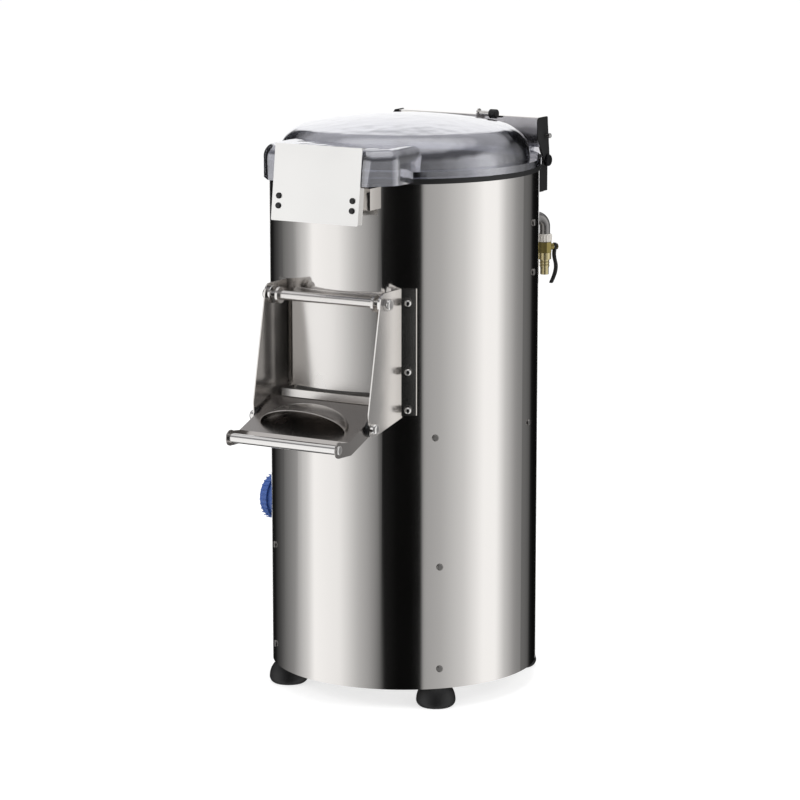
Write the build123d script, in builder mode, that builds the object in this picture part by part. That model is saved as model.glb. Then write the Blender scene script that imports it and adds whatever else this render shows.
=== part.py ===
from build123d import *
import os
from math import acos, asin, cos, degrees, pi, radians, sin, sqrt

os.makedirs("parts", exist_ok=True)

# Floor-standing potato peeling machine.
# Millimetres, +Z up, front towards -Y, origin on the drum axis at floor level.

# Driving dimensions of the body
body_radius = 200.0
shell_wall = 1.5
shell_height = 745.0
foot_height = 30.0
seat_gap = 0.3
running_gap = 0.05
overrun = 4.0
sheet = 2.0
thin_sheet = 1.5

# Peeling chamber
chamber_floor_top = 402.0
chamber_floor_thickness = 4.0
drum_radius = 186.0
drum_wall = 1.5
lining_thickness = 5.0
lining_top_margin = 6.0
shaft_radius = 12.5
turntable_radius = 171.0
turntable_thickness = 8.0
turntable_rise = 12.0
abrasive_layer = 3.0
wave_count = 3
wave_height = 9.0
wave_width = 60.0

# Discharge outlet and its door
outlet_half_width = 70.0
outlet_bottom = 470.0
outlet_top = 606.0
outlet_corner = 8.0
collar_lip = 9.0
sill_front = 219.0
sill_drop = 11.0
door_half_width = 71.0
door_bottom = 474.0
door_depth = 8.0
door_corner = 9.0
door_seal_thickness = 3.0
door_seal_width = 5.0
door_bar_radius = 5.0
door_bar_forward = 220.0
door_bar_height = 607.0
door_sleeve_wall = 2.0
door_sleeve_half_width = 82.0
door_eye_wall = 5.0
door_eye_width = 4.0

# Chute cheeks
stud_radius = 3.0
cheek_inner = 95.5
cheek_front_low = 269.0
cheek_front_high = 233.0
cheek_low_corner = 266.0
cheek_rear_bottom = 439.0
cheek_bottom = 418.5
cheek_top = 624.0
cheek_nose_height = 455.0
cheek_flange = 20.0
cheek_round = 12.0
cheek_nut_heights = (448.0, 504.0, 604.0)
cap_nut_reach = 8.5

# Chute tray
tray_half_width = 91.0
tray_slope = 20.0
tray_length = 103.0
tray_flange_depth = 21.0
scoop_reach = 78.0
scoop_half_width = 72.0
scoop_depth = 50.0
scoop_height = 28.0
handle_radius = 7.0
handle_reach = 129.0
handle_rise = 2.0
handle_eye_wall = 4.5
handle_overhang = 1.5
pivot_reach = 47.0
pivot_drop = 9.0
pivot_radius = 4.0
spacer_radius = 12.0

# Lid
gasket_height = 4.5
gasket_lip = 1.8
lid_rim_radius = 203.0
lid_rim_thickness = 10.0
lid_wall = 4.0
dome_shoulder_radius = 186.0
dome_height = 71.0
dome_crown_radius = 760.0
dome_round = 46.0
hood_half_width = 112.0
hood_front = 240.0
hood_front_half_width = 74.0
hood_ear_setback = 27.0
hood_height = 50.0
hood_round = 20.0
hood_drop = 5.0
plate_half_width = 72.0
plate_top = 830.0
plate_bottom = 721.0
plate_top_forward = 242.0
plate_bottom_forward = 256.0
plate_return = 12.0
plate_screw_out = 61.0
plate_screw_heights = (742.0, 756.0)
plate_screw_radius = 2.5
plate_screw_head = 4.4
magnet_width = 18.0
magnet_height = 28.0
magnet_depth = 11.0
switch_out = 70.0
switch_forward = 218.0
switch_bottom = 739.0
switch_height = 31.0
switch_fold = 16.0

# Lid hinge at the rear
hinge_back = 216.0
hinge_height = 770.0
hinge_pin_radius = 5.0
hinge_eye_radius = 9.0
cover_half_width = 124.0
cover_front = 195.0
cover_back = 220.0
cover_top = 836.0
cover_fold = 6.0
cover_screw_back = 206.0
cover_screw_places = (-72.0, -24.0, 24.0, 72.0)
cover_screw_radius = 2.5
cover_screw_depth = 6.0
lug_half_width = 116.0
bracket_half_width = 120.0
bracket_sheet = 3.0
bracket_bottom = 722.0
bracket_top = 762.0
pin_head = 6.5
buffer_radius = 7.0
buffer_back = 187.0
buffer_rise = 3.0
buffer_left = 42.0
buffer_length = 13.0
buffer_stud_radius = 4.0
buffer_stud_left = 24.0
buffer_stud_length = 27.0

# Drive
motor_offset = 125.0
motor_radius = 60.0
motor_bottom = 170.0
motor_length = 145.0
motor_shaft_radius = 9.0
large_pulley_radius = 85.0
small_pulley_radius = 28.0
pulley_bottom = 128.0
pulley_width = 20.0
belt_thickness = 8.0
belt_width = 12.0
bearing_radius = 26.0
bearing_width = 15.0
housing_radius = 34.0
housing_length = 96.0
housing_flange_radius = 60.0

# Feet
foot_count = 4
first_foot_azimuth = 45.0
foot_radius = 29.0
foot_top_radius = 21.0
foot_inset = 20.0
foot_recess_radius = 7.0
foot_recess_depth = 8.0
foot_web = 3.0
foot_bolt_radius = 4.0

# Water inlet, drain and mains inlet
water_azimuth = 145.0
water_height = 688.0
water_standoff = 35.0
water_pipe_radius = 8.0
water_pipe_wall = 2.0
nozzle_radius = 11.0
nozzle_socket = 8.0
union_radius = 10.5
union_bottom = 649.0
union_height = 12.0
union_rib_count = 16
union_edge = 1.0
spigot_radius = 7.0
valve_radius = 10.0
valve_height = 16.0
valve_bore = 4.0
ball_radius = 6.5
stem_radius = 3.0
boss_reach = 14.0
lever_width = 13.0
lever_length = 57.0
lever_bend = 9.0
lever_sheet = 3.5
tail_radius = 6.5
tail_bore = 4.5
tail_bottom = 599.0
tail_plain = 10.0
tail_nut_height = 10.0
barb_count = 3
barb_height = 1.5
drain_radius = 25.0
drain_wall = 2.0
drain_back = 150.0
drain_drop = 42.0
drain_reach = 245.0
drain_spigot = 40.0
drain_bead = 3.0
mains_height = 251.0
mains_flange_radius = 36.0
mains_barrel_radius = 30.0
mains_barrel_reach = 225.0
mains_flange = 8.0
mains_depth = 15.0
mains_wall = 3.0
mains_socket_depth = 34.0
mains_cap_radius = 34.0
mains_cap_depth = 17.0
mains_hinge_setback = 5.0
mains_ear_in = 6.0
mains_ear_width = 5.0
mains_ear_radius = 4.5
mains_pin_radius = 2.0
contact_count = 5
contact_radius = 3.0
button_azimuth = -112.0
button_heights = (310.0, 352.0)
button_radius = 10.0
button_travel = 3.0
button_tube_depth = 15.0
button_flange = 4.0
button_rim_width = 6.0
button_reaches = (6.0, 9.0)

# Derived levels and radii
shell_bottom = foot_height
shell_top = shell_bottom + shell_height
shell_inner = body_radius - shell_wall
rim_ring_top = shell_top + thin_sheet
gasket_top = rim_ring_top + gasket_height
lid_base = gasket_top + seat_gap
lid_rim_top = lid_base + lid_rim_thickness
drum_inner = drum_radius - drum_wall
lining_outer = drum_inner - seat_gap
lining_inner = lining_outer - lining_thickness
cheek_outer = cheek_inner + sheet
outlet_middle = (outlet_bottom + outlet_top) / 2
window_half_width = outlet_half_width + thin_sheet + seat_gap
window_bottom = outlet_bottom - thin_sheet - seat_gap
window_top = outlet_top + thin_sheet + seat_gap
window_middle = (window_bottom + window_top) / 2
turntable_bottom = chamber_floor_top + turntable_rise
turntable_top = turntable_bottom + turntable_thickness

flange_inner = body_radius + seat_gap
flange_outer = flange_inner + sheet
collar_outer = flange_inner + thin_sheet
seal_inner = collar_outer + seat_gap
seal_outer = seal_inner + door_seal_thickness
door_inner = seal_outer + seat_gap
door_outer = door_inner + door_depth
foot_circle_radius = body_radius - foot_inset
water_leg_radius = body_radius + water_standoff
buffer_height = cover_top + buffer_rise
# The tray's own plane: origin at its rear edge, local y up the slope, local z square to the sheet
tray_rear = (-sill_front + thin_sheet + seat_gap, outlet_bottom - sill_drop - seat_gap)
slope = radians(tray_slope)


def on_tray(reach, rise):
    """Y and Z of a point a reach down the slope from the rear edge and a rise above the sheet."""
    return (
        tray_rear[0] - reach * cos(slope) - rise * sin(slope),
        tray_rear[1] - reach * sin(slope) + rise * cos(slope),
    )


pivot_place = on_tray(pivot_reach, -pivot_drop)
handle_place = on_tray(handle_reach, handle_rise)
nut_azimuth = degrees(asin((cheek_outer + cheek_flange / 2 - sheet) / flange_outer))


def side_plane(azimuth, height, radius=0.0):
    """Plane square to the radius at an azimuth measured from the front towards +X, local y up."""
    a = radians(azimuth)
    return Plane(
        origin=(radius * sin(a), -radius * cos(a), height),
        x_dir=(cos(a), sin(a), 0),
        z_dir=(sin(a), -cos(a), 0),
    )


# Front plate's own plane: on its outer face, local y up the plate
plate_rise = plate_top - plate_bottom
plate_run = plate_bottom_forward - plate_top_forward
plate_slant = sqrt(plate_rise ** 2 + plate_run ** 2)
plate_plane = Plane(
    origin=(0, -plate_top_forward, plate_top),
    x_dir=(1, 0, 0),
    z_dir=(0, -plate_rise / plate_slant, plate_run / plate_slant),
)
plate_screw_rows = [(h - plate_top) * plate_slant / plate_rise for h in plate_screw_heights]
plate_screw_places = [(x, y) for x in (-plate_screw_out, plate_screw_out) for y in plate_screw_rows]
plate_screw_middle = sum(plate_screw_rows) / len(plate_screw_rows)


def finish(builder, name):
    """Label a finished piece and write it."""
    builder.part.label = name
    export_step(builder.part, f"parts/{name}.step")


def ring(outer, inner):
    """Annulus drawn in the open sketch."""
    Circle(outer)
    Circle(inner, mode=Mode.SUBTRACT)


def rolled_panel(inner, outer, half_width, bottom, top, corner):
    """Panel rolled round the drum axis at the front, with a rounded outline."""
    with BuildPart() as panel:
        with BuildSketch(Plane.XZ):
            with Locations((0, (bottom + top) / 2)):
                RectangleRounded(2 * half_width, top - bottom, corner)
        extrude(amount=outer + overrun)
        with BuildSketch(Plane.XY.offset(bottom - overrun)):
            ring(outer, inner)
        extrude(amount=top - bottom + 2 * overrun, mode=Mode.INTERSECT)
    return panel.part


# Openings through shell, drum and lining: the outlet window and the water pipe's hole
with BuildPart() as wall_openings:
    with BuildSketch(Plane.XZ):
        with Locations((0, window_middle)):
            RectangleRounded(2 * window_half_width, window_top - window_bottom, outlet_corner)
    extrude(amount=body_radius + overrun)
    with BuildSketch(side_plane(water_azimuth, water_height)):
        Circle(water_pipe_radius + seat_gap)
    extrude(amount=body_radius + overrun)

# Outer shell: rolled cylinder with the holes of what passes through it
with BuildPart() as outer_shell:
    with BuildSketch(Plane.XY.offset(shell_bottom)):
        ring(body_radius, shell_inner)
    extrude(amount=shell_height)
    add(wall_openings.part, mode=Mode.SUBTRACT)
    with BuildSketch(side_plane(180, chamber_floor_top - drain_drop)):
        Circle(drain_radius + seat_gap)
    extrude(amount=body_radius + overrun, mode=Mode.SUBTRACT)
    with BuildSketch(side_plane(-90, mains_height)):
        Circle(mains_barrel_radius + seat_gap)
    extrude(amount=body_radius + overrun, mode=Mode.SUBTRACT)
    for button_height in button_heights:
        with BuildSketch(side_plane(button_azimuth, button_height)):
            Circle(button_radius + sheet + seat_gap)
        extrude(amount=body_radius + overrun, mode=Mode.SUBTRACT)
    for side in (-1, 1):
        for nut_height in cheek_nut_heights:
            with BuildSketch(side_plane(side * nut_azimuth, nut_height, shell_inner - overrun)):
                Circle(stud_radius + seat_gap)
            extrude(amount=2 * overrun + shell_wall, mode=Mode.SUBTRACT)
finish(outer_shell, "outer_shell")

# Rim ring: closes the gap between the shell and the drum under the seal
with BuildPart() as rim_ring:
    with BuildSketch(Plane.XY.offset(shell_top)):
        ring(body_radius, drum_inner)
    extrude(amount=thin_sheet)
finish(rim_ring, "rim_ring")

# Rim gasket: rubber ring with a lip over the shell's edge
with BuildPart() as rim_gasket:
    with BuildSketch(Plane.XY.offset(rim_ring_top)):
        ring(body_radius + gasket_lip, drum_radius)
    extrude(amount=gasket_height)
    with BuildSketch(Plane.XY.offset(shell_top - thin_sheet)):
        ring(body_radius + gasket_lip, body_radius + seat_gap)
    extrude(amount=2 * thin_sheet)
finish(rim_gasket, "rim_gasket")

# Base plate: pan inside the foot of the shell, with vents and foot bolt holes
base_rim_height = 20.0
vent_length = 70.0
vent_width = 8.0
vent_circle = 120.0
vent_count = 8
with BuildPart() as base_plate:
    with BuildSketch(Plane.XY.offset(shell_bottom)):
        Circle(shell_inner - seat_gap)
        with PolarLocations(foot_circle_radius, foot_count, start_angle=first_foot_azimuth):
            Circle(foot_bolt_radius + seat_gap, mode=Mode.SUBTRACT)
        with PolarLocations(vent_circle, vent_count):
            SlotOverall(vent_length, vent_width, mode=Mode.SUBTRACT)
    extrude(amount=sheet)
    with BuildSketch(Plane.XY.offset(shell_bottom + sheet)):
        ring(shell_inner - seat_gap, shell_inner - seat_gap - sheet)
    extrude(amount=base_rim_height)
finish(base_plate, "base_plate")

# Rubber feet: bulb shape, a peg recess underneath and a pocket for the moulded-in bolt head
foot_widest_height = 11.0
foot_bottom_radius = 24.0
foot_top = foot_height - seat_gap
bolt_head_height = 5.0
bolt_head_radius = 6.5
bolt_head_bottom = foot_recess_depth + foot_web + seat_gap
with BuildPart() as foot:
    with BuildSketch(Plane.XZ):
        with BuildLine():
            Polyline(
                (0, foot_top),
                (0, foot_recess_depth),
                (foot_recess_radius, foot_recess_depth),
                (foot_recess_radius, 0),
                (foot_bottom_radius, 0),
            )
            ThreePointArc(
                (foot_bottom_radius, 0),
                (foot_radius - (foot_radius - foot_bottom_radius) / 4, foot_widest_height / 3),
                (foot_radius, foot_widest_height),
            )
            ThreePointArc(
                (foot_radius, foot_widest_height),
                (
                    foot_radius - (foot_radius - foot_top_radius) / 4,
                    (foot_widest_height + foot_top) / 2,
                ),
                (foot_top_radius, foot_top),
            )
            Line((foot_top_radius, foot_top), (0, foot_top))
        make_face()
    revolve(axis=Axis.Z)
    with BuildSketch(Plane.XY.offset(bolt_head_bottom - seat_gap)):
        Circle(bolt_head_radius + seat_gap)
    extrude(amount=bolt_head_height + 2 * seat_gap, mode=Mode.SUBTRACT)
    with BuildSketch(Plane.XY.offset(bolt_head_bottom)):
        Circle(foot_bolt_radius + seat_gap)
    extrude(amount=foot_height, mode=Mode.SUBTRACT)
with BuildPart() as rubber_feet:
    with PolarLocations(foot_circle_radius, foot_count, start_angle=first_foot_azimuth):
        add(foot.part)
finish(rubber_feet, "rubber_feet")

# Foot bolts: head inside the rubber, shank through the base plate, nut on top
with BuildPart() as foot_bolts:
    with BuildSketch(Plane.XY.offset(bolt_head_bottom)):
        with PolarLocations(foot_circle_radius, foot_count, start_angle=first_foot_azimuth):
            RegularPolygon(bolt_head_radius, 6)
    extrude(amount=bolt_head_height)
    with BuildSketch(Plane.XY.offset(bolt_head_bottom)):
        with PolarLocations(foot_circle_radius, foot_count, start_angle=first_foot_azimuth):
            Circle(foot_bolt_radius)
    extrude(amount=foot_height - bolt_head_bottom + sheet + 2 * bolt_head_height)
    with BuildSketch(Plane.XY.offset(foot_height + sheet + seat_gap)):
        with PolarLocations(foot_circle_radius, foot_count, start_angle=first_foot_azimuth):
            RegularPolygon(bolt_head_radius, 6)
    extrude(amount=bolt_head_height)
finish(foot_bolts, "foot_bolts")

# Shell screws: low domed heads in rings, and a pair by the water inlet
screw_head_radius = 5.0
screw_head_height = 2.6
corner_azimuths = (-135.0, -45.0, 45.0, 135.0)
floor_azimuths = (-150.0, -96.5, -43.0, 43.0, 96.5, 150.0)
pair_azimuths = (101.5,)
low_screws = 60.0
middle_screws = 213.0
floor_screws = 405.0
pair_screws_low = 627.0
pair_screws_high = 700.0
screw_rings = (
    (low_screws, corner_azimuths),
    (middle_screws, corner_azimuths),
    (floor_screws, floor_azimuths),
    (pair_screws_low, pair_azimuths),
    (pair_screws_high, pair_azimuths),
)
with BuildPart() as shell_screws:
    for ring_height, azimuths in screw_rings:
        for azimuth in azimuths:
            with BuildSketch(side_plane(azimuth, ring_height, body_radius + seat_gap / 2)):
                Circle(screw_head_radius)
            extrude(amount=screw_head_height)
    fillet(
        shell_screws.edges().filter_by(GeomType.CIRCLE).filter_by(
            lambda e: Vector(e.arc_center.X, e.arc_center.Y).length
            > body_radius + screw_head_height / 2
        ),
        screw_head_height * 2 / 3,
    )
finish(shell_screws, "shell_screws")

# Chamber floor: disc under the drum with the spindle hole and the drain hole
with BuildPart() as chamber_floor:
    with BuildSketch(Plane.XY.offset(chamber_floor_top - chamber_floor_thickness)):
        Circle(shell_inner - seat_gap)
        Circle(shaft_radius + sheet, mode=Mode.SUBTRACT)
        with Locations((0, drain_back)):
            Circle(drain_radius + seat_gap, mode=Mode.SUBTRACT)
    extrude(amount=chamber_floor_thickness)
finish(chamber_floor, "chamber_floor")

# Peeling drum: inner cylinder that stands on the chamber floor
with BuildPart() as peeling_drum:
    with BuildSketch(Plane.XY.offset(chamber_floor_top)):
        ring(drum_radius, drum_inner)
    extrude(amount=shell_top - chamber_floor_top)
    add(wall_openings.part, mode=Mode.SUBTRACT)
finish(peeling_drum, "peeling_drum")

# Drum lining: abrasive sleeve inside the drum
with BuildPart() as drum_lining:
    with BuildSketch(Plane.XY.offset(chamber_floor_top + seat_gap)):
        ring(lining_outer, lining_inner)
    extrude(amount=shell_top - chamber_floor_top - lining_top_margin)
    add(wall_openings.part, mode=Mode.SUBTRACT)
finish(drum_lining, "drum_lining")

# Outlet collar: tube through shell and drum with a rolled lip on the shell and a folded sill
with BuildPart() as outlet_sill:
    with BuildSketch(Plane.YZ.offset(-outlet_half_width - collar_lip)):
        with BuildLine():
            Polyline(
                (-drum_radius, outlet_bottom),
                (-sill_front, outlet_bottom),
                (-sill_front, outlet_bottom - sill_drop),
                (-sill_front + thin_sheet, outlet_bottom - sill_drop),
                (-sill_front + thin_sheet, outlet_bottom - thin_sheet),
                (-drum_radius, outlet_bottom - thin_sheet),
                close=True,
            )
        make_face()
    extrude(amount=2 * (outlet_half_width + collar_lip))
    with BuildSketch(Plane.XY.offset(outlet_bottom - sill_drop - overrun)):
        Circle(flange_inner)
    extrude(amount=sill_drop + 2 * overrun, mode=Mode.SUBTRACT)
with BuildPart() as outlet_collar:
    add(
        rolled_panel(
            drum_inner,
            collar_outer,
            outlet_half_width + thin_sheet,
            outlet_bottom - thin_sheet,
            outlet_top + thin_sheet,
            outlet_corner,
        )
    )
    add(
        rolled_panel(
            flange_inner,
            collar_outer,
            outlet_half_width + collar_lip,
            outlet_bottom - collar_lip,
            outlet_top + collar_lip,
            outlet_corner,
        )
    )
    add(outlet_sill.part)
    with BuildSketch(Plane.XZ):
        with Locations((0, outlet_middle)):
            RectangleRounded(
                2 * outlet_half_width, outlet_top - outlet_bottom, outlet_corner - thin_sheet
            )
    extrude(amount=sill_front + overrun, mode=Mode.SUBTRACT)
finish(outlet_collar, "outlet_collar")


def build_cheek(side):
    """Side plate with a rolled flange that hugs the shell; side is +1 right and -1 left."""
    with BuildPart() as cheek:
        with BuildSketch(Plane.YZ.offset(cheek_inner if side > 0 else -cheek_outer)) as outline:
            with BuildLine():
                Polyline(
                    (-body_radius + 2 * cheek_flange, cheek_rear_bottom),
                    (-cheek_low_corner, cheek_bottom),
                    (-cheek_front_low, cheek_nose_height),
                    (-cheek_front_high, cheek_top),
                    (-body_radius + 2 * cheek_flange, cheek_top),
                    close=True,
                )
            make_face()
            outer_corners = [
                v for v in outline.vertices() if v.X < -body_radius and v.Y != cheek_nose_height
            ]
            fillet(outer_corners, cheek_round)
        extrude(amount=sheet)
        with BuildSketch(Plane.XY.offset(cheek_rear_bottom)):
            ring(flange_outer, flange_inner)
            with Locations((side * (cheek_inner + cheek_flange / 2), -body_radius)):
                Rectangle(cheek_flange, 2 * body_radius, mode=Mode.INTERSECT)
        extrude(amount=cheek_top - cheek_rear_bottom)
        with BuildSketch(Plane.XY.offset(cheek_bottom - overrun)):
            Circle(flange_inner)
        extrude(amount=cheek_top - cheek_bottom + 2 * overrun, mode=Mode.SUBTRACT)
        for nut_height in cheek_nut_heights:
            with BuildSketch(side_plane(side * nut_azimuth, nut_height)):
                Circle(stud_radius + seat_gap)
            extrude(amount=flange_outer + overrun, mode=Mode.SUBTRACT)
        with BuildSketch(Plane.YZ):
            with Locations((-door_bar_forward, door_bar_height)):
                Circle(door_bar_radius + seat_gap / 2)
            with Locations(pivot_place):
                Circle(pivot_radius + seat_gap / 2)
        extrude(amount=side * (cheek_outer + overrun), mode=Mode.SUBTRACT)
    return cheek


# Chute cheeks: the pair that carries door bar and tray
cheek_left = build_cheek(-1)
finish(cheek_left, "cheek_left")
cheek_right = build_cheek(1)
finish(cheek_right, "cheek_right")

# Cheek bolts: domed nut outside the flange, stud through the shell, nut inside
nut_radius = 6.0
nut_height_across = 5.0
dome_nut_share = 0.5
dome_nut_reach = 10.0
with BuildPart() as cheek_bolts:
    for side in (-1, 1):
        for nut_height in cheek_nut_heights:
            inside = side_plane(side * nut_azimuth, nut_height, shell_inner - sheet)
            with BuildSketch(inside):
                Circle(stud_radius)
            extrude(amount=flange_outer - body_radius + shell_wall + sheet + nut_height_across)
            outside = side_plane(side * nut_azimuth, nut_height, flange_outer + seat_gap)
            with BuildSketch(outside):
                RegularPolygon(nut_radius, 6)
            extrude(amount=nut_height_across)
            with BuildSketch(outside):
                Circle(nut_radius * cos(pi / 6) - seat_gap)
            extrude(amount=dome_nut_reach)
    fillet(
        cheek_bolts.edges().filter_by(GeomType.CIRCLE).filter_by(
            lambda e: Vector(e.arc_center.X, e.arc_center.Y).length
            > flange_outer + dome_nut_reach
        ),
        dome_nut_share * nut_radius,
    )
finish(cheek_bolts, "cheek_bolts")

# Door bar: round bar through both cheeks, with threaded ends
with BuildPart() as door_bar:
    with BuildSketch(Plane.YZ.offset(-cheek_outer - cap_nut_reach / 2)):
        with Locations((-door_bar_forward, door_bar_height)):
            Circle(door_bar_radius)
    extrude(amount=2 * cheek_outer + cap_nut_reach)
    fillet(door_bar.edges().filter_by(GeomType.CIRCLE), thin_sheet)
finish(door_bar, "door_bar")

# Door bar washers: a thick one inside each cheek
washer_radius = 13.0
washer_thickness = 5.0
with BuildPart() as bar_washers:
    for start in (-cheek_inner + seat_gap, cheek_inner - seat_gap - washer_thickness):
        with BuildSketch(Plane.YZ.offset(start)):
            with Locations((-door_bar_forward, door_bar_height)):
                ring(washer_radius, door_bar_radius + seat_gap / 2)
        extrude(amount=washer_thickness)
finish(bar_washers, "bar_washers")

# Cap nuts of the door bar: hexagon with a domed end outside each cheek
cap_nut_radius = 10.0
with BuildPart() as bar_cap_nuts:
    for side in (-1, 1):
        with BuildSketch(Plane.YZ.offset(side * (cheek_outer + seat_gap))):
            with Locations((-door_bar_forward, door_bar_height)):
                RegularPolygon(cap_nut_radius, 6)
        extrude(amount=side * cap_nut_reach / 2)
        with BuildSketch(Plane.YZ.offset(side * (cheek_outer + seat_gap))):
            with Locations((-door_bar_forward, door_bar_height)):
                Circle(cap_nut_radius * cos(pi / 6) - seat_gap)
        extrude(amount=side * cap_nut_reach)
    fillet(
        bar_cap_nuts.edges().filter_by(GeomType.CIRCLE).filter_by(
            lambda e: abs(e.arc_center.X) > cheek_outer + cap_nut_reach
        ),
        cap_nut_reach / 3,
    )
    with BuildSketch(Plane.YZ.offset(-cheek_outer - cap_nut_reach / 2 - seat_gap)):
        with Locations((-door_bar_forward, door_bar_height)):
            Circle(door_bar_radius + seat_gap / 2)
    extrude(amount=2 * cheek_outer + cap_nut_reach + 2 * seat_gap, mode=Mode.SUBTRACT)
finish(bar_cap_nuts, "bar_cap_nuts")

# Door: rolled pan with a top flange that ends in a sleeve on the bar
sleeve_radius = door_bar_radius + running_gap + door_sleeve_wall
eye_start = door_sleeve_half_width - door_eye_width
with BuildPart() as door:
    add(
        rolled_panel(
            door_inner, door_outer, door_half_width, door_bottom, door_bar_height, door_corner
        )
    )
    fillet(door.faces().filter_by(GeomType.CYLINDER).sort_by(SortBy.AREA)[-1].edges(), sheet)
    add(
        rolled_panel(
            door_inner - overrun,
            door_outer - thin_sheet,
            door_half_width - thin_sheet,
            door_bottom + thin_sheet,
            door_bar_height - thin_sheet,
            door_corner - thin_sheet,
        ),
        mode=Mode.SUBTRACT,
    )
    with BuildSketch(Plane.XY.offset(door_bar_height - thin_sheet)):
        with Locations((0, -door_bar_forward / 2)):
            Rectangle(2 * (door_half_width - door_corner), door_bar_forward)
        Circle(door_outer - thin_sheet, mode=Mode.SUBTRACT)
    extrude(amount=thin_sheet)
    with BuildSketch(Plane.YZ.offset(-door_sleeve_half_width)):
        with Locations((-door_bar_forward, door_bar_height)):
            Circle(sleeve_radius)
    extrude(amount=2 * door_sleeve_half_width)
    for start in (-door_sleeve_half_width, eye_start):
        with BuildSketch(Plane.YZ.offset(start)):
            with Locations((-door_bar_forward, door_bar_height)):
                Circle(sleeve_radius + door_eye_wall)
        extrude(amount=door_eye_width)
    with BuildSketch(Plane.YZ.offset(-door_sleeve_half_width - overrun)):
        with Locations((-door_bar_forward, door_bar_height)):
            Circle(door_bar_radius + running_gap)
    extrude(amount=2 * (door_sleeve_half_width + overrun), mode=Mode.SUBTRACT)
finish(door, "door")

# Door seal: rubber frame on the collar's lip
with BuildPart() as door_seal:
    add(
        rolled_panel(
            seal_inner,
            seal_outer,
            outlet_half_width + door_seal_width,
            outlet_bottom,
            outlet_top,
            outlet_corner,
        )
    )
    add(
        rolled_panel(
            seal_inner - overrun,
            seal_outer + overrun,
            outlet_half_width,
            outlet_bottom + door_seal_width,
            outlet_top - door_seal_width,
            outlet_corner - thin_sheet,
        ),
        mode=Mode.SUBTRACT,
    )
finish(door_seal, "door_seal")

# Tray scoop: quarter of a flattened ball, hollow, raised on the tray and open to the handle
def quarter_ball(inset):
    """Rear upper quarter of a ball squashed to the scoop's half sizes, set in by an inset."""
    across = scoop_half_width - inset
    with BuildPart() as ball:
        with BuildSketch(Plane.XZ):
            with BuildLine():
                Line((0, 0), (across, 0))
                CenterArc((0, 0), across, 0, 90)
                Line((0, across), (0, 0))
            make_face()
        revolve(axis=Axis.Z, revolution_arc=180)
        scale(by=(1, (scoop_depth - inset) / across, (scoop_height - inset) / across))
    return ball.part


with BuildPart() as tray_scoop:
    add(quarter_ball(0))
    add(quarter_ball(thin_sheet), mode=Mode.SUBTRACT)

# Chute tray: sloping sheet with the scoop and with folded flanges that carry the handle
tray_plane = Plane(
    origin=(0, tray_rear[0], tray_rear[1]),
    x_dir=(1, 0, 0),
    z_dir=(0, -sin(slope), cos(slope)),
)
eye_radius = handle_radius + handle_eye_wall
flange_rear_depth = tray_flange_depth * 3 / 4
with BuildPart() as chute_tray:
    with BuildSketch(tray_plane):
        with Locations((0, -tray_length / 2)):
            Rectangle(2 * tray_half_width, tray_length)
    extrude(amount=-thin_sheet)
    with BuildSketch(tray_plane):
        with Locations((0, -tray_length + thin_sheet / 2)):
            Rectangle(2 * tray_half_width, thin_sheet)
    extrude(amount=-handle_radius)
    with Locations(tray_plane.location * Location((0, -scoop_reach, -thin_sheet / 2))):
        add(tray_scoop.part)
    for start in (-tray_half_width, tray_half_width - thin_sheet):
        flange_plane = Plane(
            origin=(start, tray_rear[0], tray_rear[1]),
            x_dir=(0, cos(slope), sin(slope)),
            z_dir=(1, 0, 0),
        )
        with BuildSketch(flange_plane):
            with BuildLine():
                Polyline(
                    (0, 0),
                    (0, -flange_rear_depth),
                    (-flange_rear_depth, -tray_flange_depth),
                    (-tray_length, -tray_flange_depth),
                    (-handle_reach - eye_radius / 2, handle_rise - eye_radius * cos(pi / 6)),
                    (-handle_reach, handle_rise + eye_radius),
                    (-tray_length, 0),
                    close=True,
                )
            make_face()
            with Locations((-handle_reach, handle_rise)):
                Circle(eye_radius)
                Circle(handle_radius + seat_gap / 2, mode=Mode.SUBTRACT)
            with Locations((-pivot_reach, -pivot_drop)):
                Circle(pivot_radius + running_gap, mode=Mode.SUBTRACT)
        extrude(amount=thin_sheet)
finish(chute_tray, "chute_tray")

# Tray handle: round bar through the eyes of both flanges
with BuildPart() as tray_handle:
    with BuildSketch(Plane.YZ.offset(-tray_half_width - handle_overhang)):
        with Locations(handle_place):
            Circle(handle_radius)
    extrude(amount=2 * (tray_half_width + handle_overhang))
    fillet(tray_handle.edges().filter_by(GeomType.CIRCLE), handle_radius / 3)
finish(tray_handle, "tray_handle")

# Tray spacers: thick plastic washers between the tray's flanges and the cheeks
spacer_width = cheek_inner - tray_half_width - 2 * seat_gap
with BuildPart() as tray_spacers:
    for start in (-cheek_inner + seat_gap, tray_half_width + seat_gap):
        with BuildSketch(Plane.YZ.offset(start)):
            with Locations(pivot_place):
                ring(spacer_radius, pivot_radius + seat_gap / 2)
        extrude(amount=spacer_width)
finish(tray_spacers, "tray_spacers")

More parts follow.
